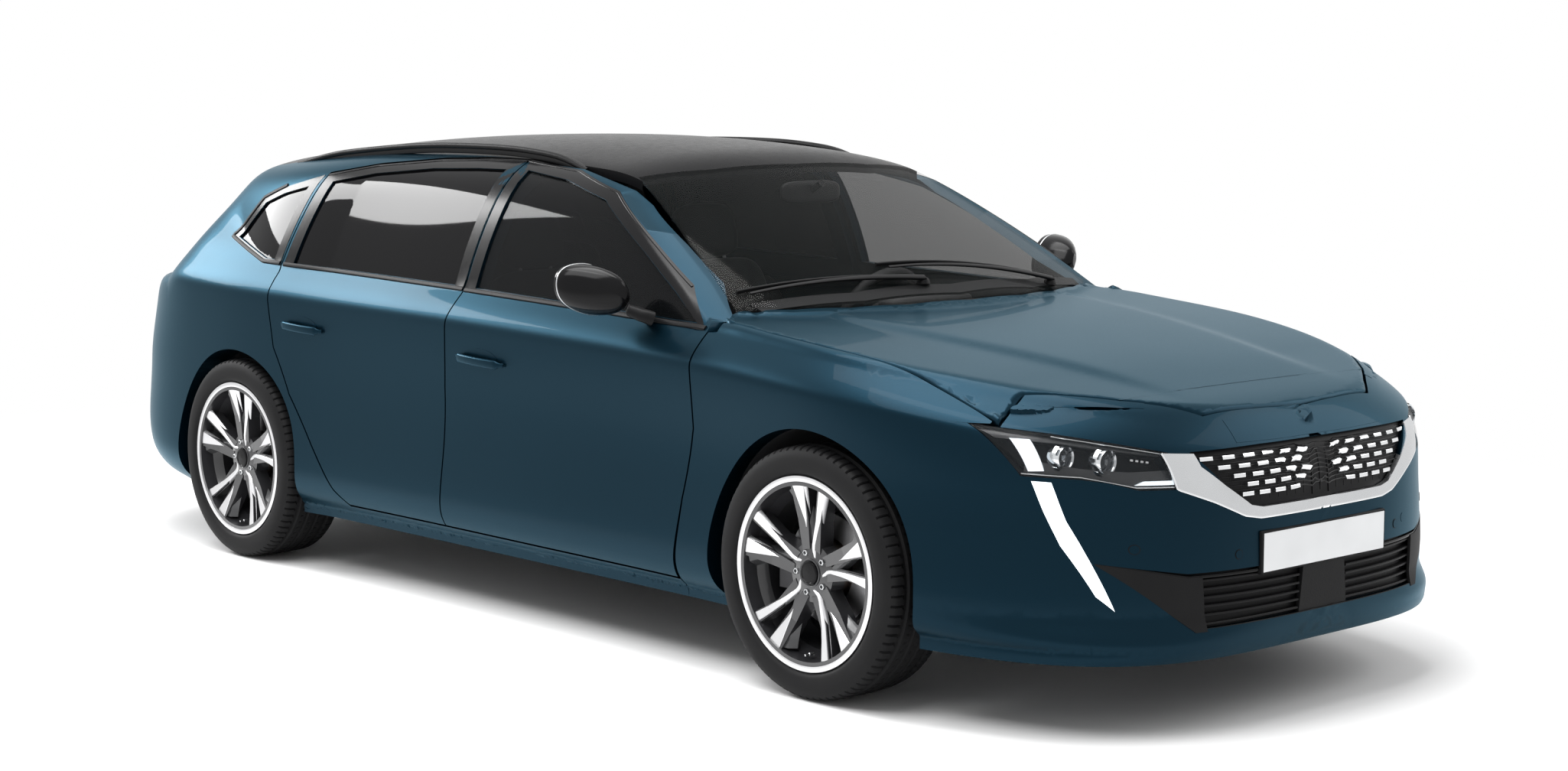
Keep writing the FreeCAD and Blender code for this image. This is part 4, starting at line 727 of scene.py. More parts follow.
def cloth_finish(name, colour, thread):
    """Seat cloth: two crossed thread waves lift a weave and mix two tones."""
    finish = Finish(name, Sheen_Weight=0.3, Specular_IOR_Level=0.3)
    x, y, z = finish.axes()
    weave = (x * 2400.0).maths("SINE") * ((y + z) * 2400.0).maths("SINE") * 0.5 + 0.5
    drift = finish.noise(30.0, 3.0)
    finish.set(Base_Color=finish.mix(weave * 0.6 + drift * 0.3, colour, thread), Roughness=0.82 + drift * 0.1)
    finish.bump(weave, 0.0004, 0.7)
    return finish.material


def leather_finish(name, colour, roughness=0.5):
    """Grained trim: cells with soft walls, as leather and moulded dash skin have."""
    finish = Finish(name, Specular_IOR_Level=0.4)
    grain = finish.cells(420.0)
    finish.set(Base_Color=finish.mix(finish.noise(20.0, 3.0), scaled(colour, 0.8), scaled(colour, 1.25)),
               Roughness=roughness + grain * 0.12)
    finish.bump(grain, 0.0005, 0.6)
    return finish.material


MAKERS = {
    "paint": lambda: paint_finish("petrol paint", tuple(bpy.context.scene.wagon_look.paint_colour)),
    "roof_black": partial(plain_finish, "roof glass black", (0.005, 0.005, 0.0055), 0.26, scale=40.0,
                          depth=0.0,
                          specular=0.03),
    "gloss_black": partial(plain_finish, "gloss black trim", (0.004, 0.004, 0.0045), 0.16, scale=200.0,
                           depth=0.00002, specular=0.14),
    "satin_black": partial(plain_finish, "satin black trim", (0.007, 0.007, 0.0075), 0.42, specular=0.10),
    "grained_black": partial(plain_finish, "grained black plastic", (0.009, 0.009, 0.0095), 0.55,
                             depth=0.0004,
                             specular=0.10),
    "clear_glass": partial(glass_finish, "clear glass", (0.010, 0.012, 0.012), 0.16),
    "side_glass": partial(glass_finish, "side glass", (0.004, 0.0045, 0.005), 0.60),
    "dark_glass": partial(glass_finish, "privacy glass", (0.002, 0.002, 0.0025), 0.95),
    "lamp_glass": partial(glass_finish, "lamp lens", (0.04, 0.045, 0.05), 0.16),
    "eye": partial(glass_finish, "projector eye", (0.10, 0.11, 0.12), 0.5),
    "chrome": partial(metal_finish, "bright chrome", (0.82, 0.83, 0.84), 0.10),
    "satin_chrome": partial(metal_finish, "satin chrome", (0.6, 0.61, 0.62), 0.28),
    "machined": partial(metal_finish, "machined alloy", (0.74, 0.74, 0.75), 0.30, brushed=0.06),
    "reflector": partial(metal_finish, "lamp reflector", (0.7, 0.72, 0.74), 0.12),
    "alloy_black": partial(plain_finish, "black alloy paint", (0.02, 0.02, 0.022), 0.3, scale=500.0, coat=0.6,
                           depth=0.00005),
    "graphite": partial(plain_finish, "graphite paint", (0.045, 0.046, 0.048), 0.32, metallic=0.5,
                        scale=500.0,
                        depth=0.00005, coat=0.5),
    "disc": partial(disc_finish, "turned disc"),
    "tyre": partial(tyre_finish, "tyre rubber"),
    "cast": partial(plain_finish, "cast iron", (0.10, 0.10, 0.105), 0.6, metallic=0.7, depth=0.0006),
    "engine": partial(plain_finish, "engine cast", (0.09, 0.09, 0.095), 0.55, metallic=0.6, depth=0.001),
    "chassis": partial(plain_finish, "chassis paint", (0.022, 0.022, 0.024), 0.6, depth=0.0004),
    "under": partial(plain_finish, "underbody coat", (0.018, 0.019, 0.021), 0.8, depth=0.0008),
    "plate": partial(plain_finish, "plate white", (0.72, 0.73, 0.74), 0.3, scale=200.0, depth=0.00003),
    "glow": partial(glow_finish, "white light guide", (0.86, 0.94, 1.0), 1.1),
    "red_lens": partial(lens_finish, "red lens", (0.22, 0.006, 0.008), 0.92),
    "seat": partial(cloth_finish, "seat cloth", (0.018, 0.018, 0.02), (0.04, 0.04, 0.043)),
    "headliner": partial(cloth_finish, "headliner", (0.05, 0.05, 0.052), (0.08, 0.08, 0.082)),
    "seat_leather": partial(leather_finish, "seat leather", (0.016, 0.016, 0.017)),
    "dash_skin": partial(leather_finish, "dash skin", (0.014, 0.014, 0.015), 0.6),
}


class Finishes(dict):
    """Every finish of the car, made when first asked for."""

    def __missing__(self, key):
        self[key] = MAKERS[key]()
        return self[key]


finishes = Finishes()


class WagonLook(PropertyGroup):
    """The colours and sizes that a user of the dressed wagon would change."""

    paint_colour: FloatVectorProperty(
        name="Paint", description="Base colour of the body's metallic paint", subtype="COLOR", size=3,
        min=0.0, max=1.0, default=(0.0003, 0.0100, 0.0185))
    floor_colour: FloatVectorProperty(
        name="Floor", description="Colour of the studio floor", subtype="COLOR", size=3,
        min=0.0, max=1.0, default=(0.90, 0.90, 0.90))
    skin_edge: FloatProperty(
        name="Skin mesh", description="Longest edge of a body panel's triangles", default=0.028,
        unit="LENGTH")


class WAGON_OT_panels(Operator):
    """Lay smooth painted skins over the body's panels"""

    bl_idname = "wagon.panels"
    bl_label = "Body panels"

    def execute(self, context):
        for node in ("hood", "tailgate", "front_bumper", "rear_bumper"):
            skin_piece(node + "_skin", node, "paint", "body" if "bumper" in node else node)
        skin_piece("roof_skin", "roof_panel", "roof_black")
        for label, sign in SIDES:
            for panel in ("body_side_", "wing_"):
                skin_piece(panel + "skin_" + label, panel + label, "paint")
            for panel in ("front_door_", "rear_door_"):
                skin_piece(panel + "skin_" + label, panel + label, "paint", panel + label)
        return {"FINISHED"}


class WAGON_OT_glass(Operator):
    """Lay clear and tinted glass in the window openings"""

    bl_idname = "wagon.glass"
    bl_label = "Glass"

    def execute(self, context):
        sunk = -0.006
        skin_piece("windscreen_glass", "windscreen", "clear_glass")
        skin_piece("tailgate_pane", "tailgate_glass", "dark_glass", "tailgate", sunk)
        skin_piece("quarter_panes", "quarter_glasses", "dark_glass", "body", sunk)
        for label, sign in SIDES:
            skin_piece("front_window_" + label, "front_door_glass_" + label, "side_glass",
                       "front_door_" + label,
                       sunk)
            skin_piece("rear_window_" + label, "rear_door_glass_" + label, "dark_glass", "rear_door_" + label,
                       sunk)
        return {"FINISHED"}


# Laying pieces on the skin.
def stations(points, per, closed=False):
    """Each run of an outline cut into the same number of steps, so that two outlines match point by point."""
    path = np.asarray(points, float)
    after = np.roll(path, -1, 0)
    if not closed:
        path, after = path[:-1], after[:-1]
    share = np.linspace(0, 1, per, endpoint=False)[:, None, None]
    steps = (path * (1 - share) + after * share).transpose(1, 0, 2).reshape(-1, path.shape[1])
    return steps if closed else np.vstack([steps, after[-1:]])


def slab(outer, inner, rows, columns, wrap=False):
    """The closed slab between two grids of points: both sheets and the walls round their edges."""
    count = rows * columns
    sheet = grid_faces(rows, columns, wrap_columns=wrap)
    index = np.arange(count).reshape(rows, columns)
    if wrap:
        rims = [index[0], index[-1][::-1]]
    else:
        rims = [np.concatenate([index[0, :-1], index[:-1, -1], index[-1, :0:-1], index[:0:-1, 0]])]
    walls = [np.stack([rim, np.roll(rim, -1), np.roll(rim, -1) + count, rim + count], 1) for rim in rims]
    return np.vstack([outer, inner]), [sheet, sheet[:, ::-1] + count] + walls


def patch(project, first, second, rows, per, levels, wrap=False):
    """A slab on the skin between two edge lines, or closed outlines where it wraps: place = first (1 - t) +
    second t, laid on the form at two levels."""
    a, b = stations(first, per, wrap), stations(second, per, wrap)
    share = np.linspace(0, 1, rows)[:, None, None]
    flat = (a * (1 - share) + b * share).reshape(-1, 2)
    return slab(project(flat, levels[0]), project(flat, levels[1]), rows, len(a), wrap)


def mirrored(points, sign):
    return np.asarray(points, float) * [sign, 1]


def twins(project, first, second, rows, per, levels):
    """The same patch on the left side and on the right."""
    return [patch(project, mirrored(first, sign), mirrored(second, sign), rows, per, levels)
            for label, sign in SIDES]


def strip(project, line, profile, level=0.0, count=60):
    """A bar along a line on the skin: its profile's first axis lies across, its second stands out."""
    places = project(fit(line, count), level)
    return sweep(places, profile, unit(slope(places)))


def shares(points):
    """Outline places given as shares of the car's length and height, in metres."""
    return np.array(points) * [LENGTH, HEIGHT]


# Wheels, made for the left side about the X axis, outer face towards +X.
BEAD = 0.241
CAP_X = 0.070


def wheel_face(radius):
    """How far out the wheel's face lies at a radius: the CAD rim's own dished line, a little proud."""
    return np.interp(radius, [0.0624, 0.1446, 0.2298, 0.2450], [0.0799, 0.0864, 0.1026, 0.1062]) + 0.0012


def spoke_plate(line, rows=18, drop=0.012, flare=0.004, sink=0.0):
    """A machined spoke: (radius, angle, half width) along it, as shares of the bead and degrees. Across it
    the plate is flat, with a small chamfer and a flank that drops back."""
    edge = 0.0022
    line = fit(line, rows)
    radius = line[:, 0] * BEAD
    turn = np.radians(line[:, 1])
    middle = np.column_stack([-np.sin(turn) * radius, np.cos(turn) * radius])
    way = unit(np.gradient(middle, axis=0))
    across_way = np.column_stack([way[:, 1], -way[:, 0]])
    flank = [(flare, drop), (0.0, edge), (-edge, 0.0)]
    rails = []
    for side_sign, ring in ((-1, flank), (1, flank[::-1])):
        for out, back in ring:
            flat = middle + across_way * (side_sign * np.maximum(line[:, 2] * BEAD + out, 0.0004))[:, None]
            rails.append(np.column_stack([wheel_face(np.hypot(*flat.T)) - back - sink, flat]))
    grid = np.stack(rails, 1)
    columns = grid.shape[1]
    return grid.reshape(-1, 3), [grid_faces(rows, columns, wrap_columns=True)] + caps(rows, columns)


def round_axle(parts, count=5):
    """The parts repeated round the axle."""
    return [moved(part, turn=rotation((1, 0, 0), 360 / count * k)) for k in range(count) for part in parts]


def tyre_part(count=480, pitches=80):
    """The tyre: its section turned about the axle. Round grooves and, on the shoulders, cross grooves are cut
    as radius = section radius - depth where a groove's square wave is on."""
    outer = softened([(0.1007, 0.2414), (0.1007, 0.2573), (0.1140, 0.2647), (0.1172, 0.2814),
                      (0.1158, 0.3049),
                      (0.1075, 0.3225), (0.0980, 0.3305), (0.0800, 0.3330), (0.0470, 0.3345), (0.0, 0.335)])
    half = fit(outer, 46)
    inner = np.array([(-0.085, 0.2414), (-0.105, 0.28), (-0.09, 0.318), (0.0, 0.323), (0.09, 0.318),
                      (0.105, 0.28),
                      (0.085, 0.2414)])
    section = np.vstack([half, (half * [-1, 1])[::-1][1:], inner])
    x = section[:, 0]
    tread = (section[:, 1] > 0.322) & (np.arange(len(section)) < len(section) - len(inner))
    from_groove = np.minimum.reduce([np.abs(np.abs(x) - place) for place in (0.021, 0.062)])
    deep = np.where(tread & (from_groove < 0.0050), 0.0065, 0.0)
    turn = np.linspace(0, 2 * np.pi, count, endpoint=False)[:, None]
    phase = (turn * pitches / (2 * np.pi) + np.sign(x) * 0.25 + np.abs(x) * 4.0) % 1.0
    shoulder = tread & (np.abs(x) > 0.068)
    middle = tread & (np.abs(x) < 0.060) & (from_groove > 0.0060)
    cross = np.where(shoulder & (phase < 0.20), 0.0055, np.where(middle & (phase < 0.09), 0.0035, 0.0))
    radius = section[:, 1] - np.maximum(deep, cross)
    points = np.stack([np.broadcast_to(x, radius.shape), np.cos(turn) * radius, np.sin(turn) * radius], -1)
    return points.reshape(-1, 3), [grid_faces(*radius.shape, wrap_rows=True, wrap_columns=True)]


def wheel_parts():
    """Each material of one wheel and its parts."""
    long_spoke = [(0.955, 16.6, 0.058), (0.80, 15.6, 0.047), (0.60, 13.6, 0.036), (0.40, 10.6, 0.028),
                  (0.30, 8.2, 0.024), (0.25, 10.0, 0.022), (0.20, 18.0, 0.020), (0.155, 27.0, 0.016)]
    wedge = [(0.955, -6.2, 0.090), (0.80, -6.0, 0.062), (0.62, -5.8, 0.028), (0.50, -5.4, 0.002)]
    flank = [(0.93, -14.5, 0.058), (0.74, -10.0, 0.050), (0.50, -4.0, 0.040), (0.24, 8.0, 0.026)]
    ring = [(0.1040, 0.2405), (0.1085, 0.2415), (0.1096, 0.2440), (0.1098, 0.2520), (0.1090, 0.2560),
            (0.1040, 0.2567), (0.1000, 0.2405)]
    cap = [(CAP_X, 0.0), (CAP_X, 0.031), (0.0855, 0.0315), (0.0880, 0.0305), (0.0892, 0.0280),
           (0.0896, 0.0262),
           (0.0882, 0.0250), (0.0888, 0.0150), (0.0892, 0.0004)]
    collar = [(0.0600, 0.0320), (0.0845, 0.0325), (0.0860, 0.0350), (0.0850, 0.0375), (0.0600, 0.0385)]
    bolt = [(0.0, 0.0), (0.0, 0.0085), (0.012, 0.0085), (0.0135, 0.0070), (0.0135, 0.0055), (0.0060, 0.0045),
            (0.0060, 0.0)]
    valve = [(0.0, 0.0), (0.0, 0.0045), (0.016, 0.0045), (0.018, 0.0030), (0.030, 0.0030), (0.031, 0.0)]
    turns = np.radians(72 * np.arange(5) + 52)
    hub = (0, 0, 0)
    return {
        "machined": round_axle([spoke_plate(long_spoke), spoke_plate(wedge, 14)]) + [turned(ring, hub,
                                                                                            count=160)],
        "graphite": round_axle([spoke_plate(flank, 12, 0.02, 0.012, 0.007)]) + [turned(collar, hub)],
        "gloss_black": [turned(cap, hub)],
        "satin_chrome": [turned(bolt, (0.072, -math.sin(turn) * 0.054, math.cos(turn) * 0.054), count=6)
                         for turn in turns] + [turned(valve, (CAP_X, 0.0, -0.215), count=12)],
        "tyre": [tyre_part()],
    }


class WAGON_OT_wheels(Operator):
    """Fit tyres with tread and the two-tone wheels' machined faces, caps and bolts"""

    bl_idname = "wagon.wheels"
    bl_label = "Wheels"

    def execute(self, context):
        parts = wheel_parts()
        for label, sign in SIDES:
            for end, axle in (("front", FRONT_AXLE), ("rear", REAR_AXLE)):
                corner = "%s_%s" % (end, label)
                for finish, made in parts.items():
                    made = [moved(part, (WHEEL_X, axle, AXLE_Z)) for part in made]
                    if sign < 0:
                        made = [flipped(part) for part in made]
                    rubber = finish == "tyre"
                    make(("tyre_tread_" if rubber else "wheel_%s_" % finish) + corner, finish, made,
                         "wheel_" + corner,
                         ["tyre_" + corner] if rubber else (),
                         smooth=32, outward=not rubber)
        return {"FINISHED"}


# Front end.
GRILLE_ROWS = 5
GRILLE_TOP = 0.6860
ROW_STEP = 0.0235
BLOCK_STEP = 0.068


def grille_blocks():
    """The upper grille's staggered bright blocks: column places draw in towards the bottom row."""
    parts = []
    for row in range(GRILLE_ROWS):
        z = GRILLE_TOP - ROW_STEP * row
        edge = 0.452 - max(row * ROW_STEP - 0.01, 0) * 1.55
        for k in range(-6, 7):
            x = (k + (0.5 if row % 2 else 0.0)) * BLOCK_STEP * (1 - 0.035 * row)
            if 0.062 <= abs(x) <= edge - 0.026:
                parts.append(strip(nose_points, [(x - 0.019, z), (x + 0.019, z)],
                                   bar_profile(0.0105, 0.014, 0.15), -0.010, 4))
    return parts


def grille_lattice():
    """Thin black bars between the blocks: level ones behind each row and short upright ones through them."""
    parts = []
    for row in range(GRILLE_ROWS * 2):
        z = GRILLE_TOP + 0.01 - ROW_STEP * 0.5 * row
        edge = 0.455 - max(GRILLE_TOP - z - 0.01, 0) * 1.5
        parts.append(strip(nose_points, [(-edge, z), (edge, z)], bar_profile(0.0028, 0.010), -0.017, 50))
    for k in range(-13, 14):
        x = k * BLOCK_STEP / 2
        low = 0.572 + max(abs(x) - 0.30, 0) * 0.62
        parts.append(strip(nose_points, [(x, low), (x, 0.702)], bar_profile(0.0030, 0.010), -0.019, 6))
    return parts


def whole(half):
    """An outline across the car from its right half, given from the outer end inwards."""
    return [(-x, z) for x, z in half] + half[::-1]


FRAME_OUTER = whole([(0.522, 0.7040), (0.500, 0.6180), (0.400, 0.5800), (0.310, 0.5400), (0.255, 0.5300)])
FRAME_INNER = whole([(0.442, 0.6990), (0.432, 0.6680), (0.368, 0.6180), (0.288, 0.5640), (0.248, 0.5560)])


class WAGON_OT_nose(Operator):
    """Fill the two grilles, frame them in bright metal and hang the number plate's blank"""

    bl_idname = "wagon.nose"
    bl_label = "Grilles and plate"

    def execute(self, context):
        make("grille_blocks", "chrome", grille_blocks(), smooth=30, outward=False)
        make("grille_lattice", "gloss_black", grille_lattice(), outward=False)
        make("grille_frame", "satin_chrome", [patch(nose_points, FRAME_OUTER, FRAME_INNER, 10, 16,
                                                    (0.0028, -0.012))])
        make("grille_line", "chrome", [strip(nose_points, FRAME_OUTER, bar_profile(0.0060, 0.0050), 0.0004,
                                             140)],
             outward=False)
        self.intake()
        self.plate()
        return {"FINISHED"}

    def intake(self):
        """Six slats each side of a middle panel, between corner panels that narrow outwards, in a thin
        surround."""
        slats = []
        for k in range(6):
            z = 0.388 - 0.0215 * k
            slats += [strip(nose_points, mirrored([(0.098, z), (0.498 - 0.004 * k, z)], sign),
                            bar_profile(0.0065, 0.024, 0.35), -0.018, 30) for label, sign in SIDES]
        make("intake_slats", "satin_black", slats, outward=False)
        centre = patch(nose_points, [(-0.085, 0.398), (0.085, 0.398)], [(-0.100, 0.272), (0.100, 0.272)], 10,
                       8,
                       (-0.004, -0.016))
        wings = twins(nose_points, [(0.676, 0.441), (0.478, 0.399), (0.440, 0.399)],
                      [(0.674, 0.437), (0.464, 0.263), (0.430, 0.263)], 14, 14, (0.0014, -0.006))
        make("intake_panels", "grained_black", [centre] + wings)
        lines = whole([(0.676, 0.441), (0.478, 0.399)]), whole([(0.676, 0.437), (0.462, 0.268)])
        make("intake_surround", "gloss_black", [strip(nose_points, line, bar_profile(0.0080, 0.008), -0.0045,
                                                      120)
                                                for line in lines], outward=False)

    def plate(self):
        """The plate stands in the CAD carrier's place: a frame and a blank sheet before it."""
        for name, finish, half, start, back, low, high, bevel, replaced in (
                ("frame", "grained_black", 0.260, 0.0012, 0.018, 0.386, 0.496, 0.003, ["plate_carrier"]),
                ("blank", "plate", 0.254, 0.0002, 0.006, 0.392, 0.490, 0.0008, ())):
            front = -LENGTH / 2
            make("plate_" + name, finish, [block((-half, front + start, low), (half, front + back, high),
                                                 bevel)],
                 replaces=replaced)


# Lamps.
LAMP_TOP = [(0.505, 0.706), (0.625, 0.733), (0.716, 0.753), (0.818, 0.7705)]
LAMP_LOW = [(0.484, 0.617), (0.590, 0.6185), (0.692, 0.6445), (0.777, 0.650)]


class WAGON_OT_lamps(Operator):
    """Build the headlamps' insides under clear lenses and light the running lights"""

    bl_idname = "wagon.lamps"
    bl_label = "Lamps"

    def execute(self, context):
        middle = np.mean(LAMP_TOP + LAMP_LOW, 0)
        top, low = [np.array(line) * 0.985 + middle * 0.015 for line in (LAMP_TOP, LAMP_LOW)]
        rim = np.vstack([stations(top, 8), stations(low[::-1], 8)])
        tub = twins(nose_points, top, low, 10, 10, (-0.050, -0.056))
        rings, eyes, lines = [], [], []
        for label, sign in SIDES:
            wall = mirrored(rim, sign)
            tub.append((np.vstack([nose_points(wall, -0.0035), nose_points(wall, -0.056)]),
                        [grid_faces(2, len(wall), wrap_columns=True)]))
            for x, z, radius in ((0.640, 0.690, 0.026), (0.712, 0.699, 0.024)):
                self.projector(nose_points([(sign * x, z)], -0.016)[0], radius, rings, eyes)
            for line, lift in ((LAMP_LOW, 0.006), (LAMP_TOP[:3], -0.004)):
                lines.append(strip(nose_points, mirrored(line, sign) + [0, lift], bar_profile(0.0030, 0.0040),
                                   -0.007))
            for k in range(4):
                x, z = 0.552 + k * 0.011, 0.688 + k * 0.002
                lines.append(strip(nose_points, mirrored([(x, z), (x + 0.006, z + 0.001)], sign),
                                   bar_profile(0.006, 0.006), -0.018, 3))
        shroud = twins(nose_points, [(0.500, 0.668), (0.600, 0.664), (0.690, 0.672), (0.772, 0.690)],
                       [(0.488, 0.622), (0.590, 0.6225), (0.690, 0.649), (0.776, 0.655)], 6, 6,
                       (-0.022, -0.030))
        shroud += twins(nose_points, [(0.508, 0.7035), (0.625, 0.730), (0.716, 0.750), (0.812, 0.768)],
                        [(0.507, 0.700), (0.625, 0.718), (0.716, 0.736), (0.800, 0.742)], 4, 6,
                        (-0.014, -0.020))
        bars = twins(nose_points, [(0.781, 0.742), (0.768, 0.662)], [(0.753, 0.741), (0.747, 0.664)], 4, 8,
                     (-0.006, -0.016))
        bars += twins(nose_points, [(0.500, 0.6400), (0.572, 0.6400)], [(0.497, 0.6290), (0.592, 0.6300)], 3,
                      10,
                      (-0.010, -0.020))
        make("lamp_lenses", "lamp_glass", twins(nose_points, LAMP_TOP, LAMP_LOW, 10, 10, (-0.0002, -0.0032)),
             replaces=["headlamps"])
        make("lamp_tubs", "satin_black", tub, outward=False)
        make("lamp_shrouds", "graphite", shroud)
        make("lamp_rings", "reflector", rings, outward=False)
        make("lamp_eyes", "eye", eyes)
        make("lamp_light_bars", "glow", bars)
        make("lamp_lines", "chrome", lines, outward=False)
        skin_piece("blade_lights", "running_light_blades", "glow",
                   longest=context.scene.wagon_look.skin_edge / 2)
        self.rear()
        return {"FINISHED"}

    def projector(self, place, radius, rings, eyes):
        """A projector: a ring round a quarter-circle dome, and four short arcs outside the ring."""
        dome = np.linspace(0, math.pi / 2, 8)
        shape = np.column_stack([0.010 - np.sin(dome) * radius * 0.5, np.cos(dome) * radius * 0.96 + 0.0002])
        eyes.append(turned(np.vstack([[(0.016, 0.0002), (0.016, radius * 0.96)], shape]), place, "y", 40))
        rings.append(turned([(0.0, radius), (-0.006, radius * 1.16), (0.010, radius * 1.22),
                             (0.034, radius * 1.10),
                             (0.030, radius * 0.9)], place, "y", 40))
        for start in (0.1, 0.55, 1.1, 1.6):
            rings.append(turned([(0.004, radius * 1.3), (0.001, radius * 1.42), (0.012, radius * 1.5)], place,
                                "y",
                                40, math.pi * start, math.pi * (start + 0.22)))

    def rear(self):
        """The tail's dark band and, in each corner, three slanted red bars under a smoked lens."""
        skin_piece("tail_band", "tailgate_lamps", "gloss_black", "tailgate", longest=0.02)
        skin_piece("tail_corner_lenses", "corner_lamps", "red_lens", longest=0.02)
        bars = []
        for x in (0.560, 0.515, 0.470):
            bars += twins(tail_points, [(x, 0.893), (x - 0.020, 0.893)],
                          [(x + 0.024, 0.806), (x + 0.004, 0.806)],
                          8, 4, (0.0012, -0.004))
        make("tail_claws", "red_lens", bars, "tailgate")


# Side trim: each window's frame, its outer outline and the edge of its glass.
WINDOWS = {
    "front": (shares([(-0.1965, 0.6540), (-0.0550, 0.6711), (0.0342, 0.6803), (0.0333, 0.9548),
                      (-0.0241, 0.9386),
                      (-0.0741, 0.9014), (-0.1321, 0.8000), (-0.1694, 0.7325)]),
              shares([(-0.1880, 0.6655), (-0.0550, 0.6815), (0.0243, 0.6894), (0.0235, 0.9350),
                      (-0.0215, 0.9195),
                      (-0.0690, 0.8843), (-0.1262, 0.7864), (-0.1625, 0.7197)])),
    "rear": (shares([(0.0366, 0.6815), (0.2400, 0.6985), (0.2290, 0.9095), (0.1842, 0.9330), (0.1220, 0.9495),
                     (0.0751, 0.9548), (0.0355, 0.9548)]),
             shares([(0.0457, 0.6916), (0.2293, 0.7056), (0.2199, 0.8926), (0.1800, 0.9146), (0.1210, 0.9308),
                     (0.0751, 0.9350), (0.0457, 0.9350)])),
    "quarter": (shares([(0.2450, 0.6995), (0.2660, 0.7015), (0.3210, 0.7505), (0.2960, 0.8440),
                        (0.2712, 0.8745),
                        (0.2340, 0.9060)]),
                shares([(0.2527, 0.7113), (0.2640, 0.7120), (0.3126, 0.7532), (0.2904, 0.8370),
                        (0.2692, 0.8612),
                        (0.2437, 0.8797)])),
}
MOULDINGS = (("moulding", "satin_black", 0.006, (0.014, 0.006, 0.45, 4), 0.0015, 60,
              {"front": (0, 3), "rear": (0, 2), "quarter": (0, 5)}),
             ("roof_moulding", "gloss_black", -0.004, (0.008, 0.004, 0.45, 4), 0.0012, 70,
              {"front": (3, 8), "rear": (2, 7)}))
DOOR_HANDLES = {"front": (0.007, 0.775, 0.235), "rear": (0.958, 0.806, 0.225)}
RAIL_LINE = shares([(-0.0224, 0.9440), (0.0021, 0.9710), (0.0335, 0.9817), (0.0659, 0.9873), (0.1256, 0.9880),
                    (0.1689, 0.9831), (0.2240, 0.9700), (0.2660, 0.9570), (0.3100, 0.9290)])
ROOF_EDGE = 0.613 * HALF


def handle_parts(project, y, z, length):
    """A door handle: a bar that stands off the skin as sin(pi t)^0.35 of its reach, over an oval dish's
    rim."""
    t = np.linspace(0, 1, 28)
    places = project(np.column_stack([y + (t - 0.5) * length, z + 0.010 * (t - 0.5)]))
    out = unit(slope(places))
    lift = 0.020 * np.sin(np.pi * np.clip(t, 0.004, 0.996)) ** 0.35
    bar = sweep(places + out * lift[:, None], bar_profile(0.026, 0.013, 0.45, 5), out,
                scale=np.clip(np.sin(np.pi * t) * 3, 0.45, 1.0))
    dish = patch(project, circle(y, z, length * 0.36, 0.036, 20), circle(y, z, length * 0.02, 0.002, 20), 8,
                 2,
                 (0.0007, -0.003), wrap=True)
    return bar, dish


MIRROR_FACE = [(0.872, 0.985), (0.875, 1.025), (0.900, 1.070), (0.945, 1.097), (1.000, 1.100), (1.042, 1.084),
               (1.056, 1.044), (1.040, 0.996), (0.985, 0.962), (0.910, 0.948)]


def mirror_back(x):
    return -0.590 + 0.030 * (x - 0.872) / 0.184


def mirror_parts():
    """The left mirror: its face outline shrinks towards the front as (1 - t^2.4)^(1/2.4), and the front
    itself runs back from the inner end to the tip; the glass sits in its back, and an arm carries it."""
    outline = softened(MIRROR_FACE, 3, True)
    middle = outline.mean(0)
    back = mirror_back(outline[:, 0])
    t = np.concatenate([[1.0], np.linspace(0.995, 0.0, 18), [-0.03]])
    size = np.where(t > 0, (1 - np.clip(t, 0, 1) ** 2.4) ** (1 / 2.4), 0.985)
    size[0] = 0.02
    x, z = np.moveaxis(middle + (outline - middle) * size[:, None, None], -1, 0)
    start = mirror_back(x)
    y = start + (np.interp(x, [0.87, 0.93, 1.06], [-0.745, -0.728, -0.618]) - start) * t[:, None]
    rows, columns = y.shape
    head = (np.stack([x, y, z], -1).reshape(-1, 3), [grid_faces(rows, columns, wrap_columns=True)]
            + caps(rows, columns))

    def behind(size, shift):
        flat = middle + (outline - middle) * size
        return np.column_stack([flat[:, 0], back + shift, flat[:, 1]])

    glass = (np.vstack([behind(0.88, 0.006), behind(0.88, 0.0)]), [grid_faces(2, columns, wrap_columns=True)]
             + caps(2, columns))
    ring = behind(0.995, -0.012)
    line = sweep(ring, bar_profile(0.0040, 0.0030), (ring - [middle[0], 0, middle[1]]) * [1, 0, 1],
                 closed=True)
    arm = sweep(fit([(0.852, -0.735, 0.950), (0.872, -0.725, 0.958), (0.905, -0.700, 0.975)], 12),
                bar_profile(0.075, 0.032, 0.45, 5), (0, 0, 1.0), scale=np.linspace(1.25, 0.9, 12))
    return {"shell": head, "glass": glass, "line": line, "arm": arm}


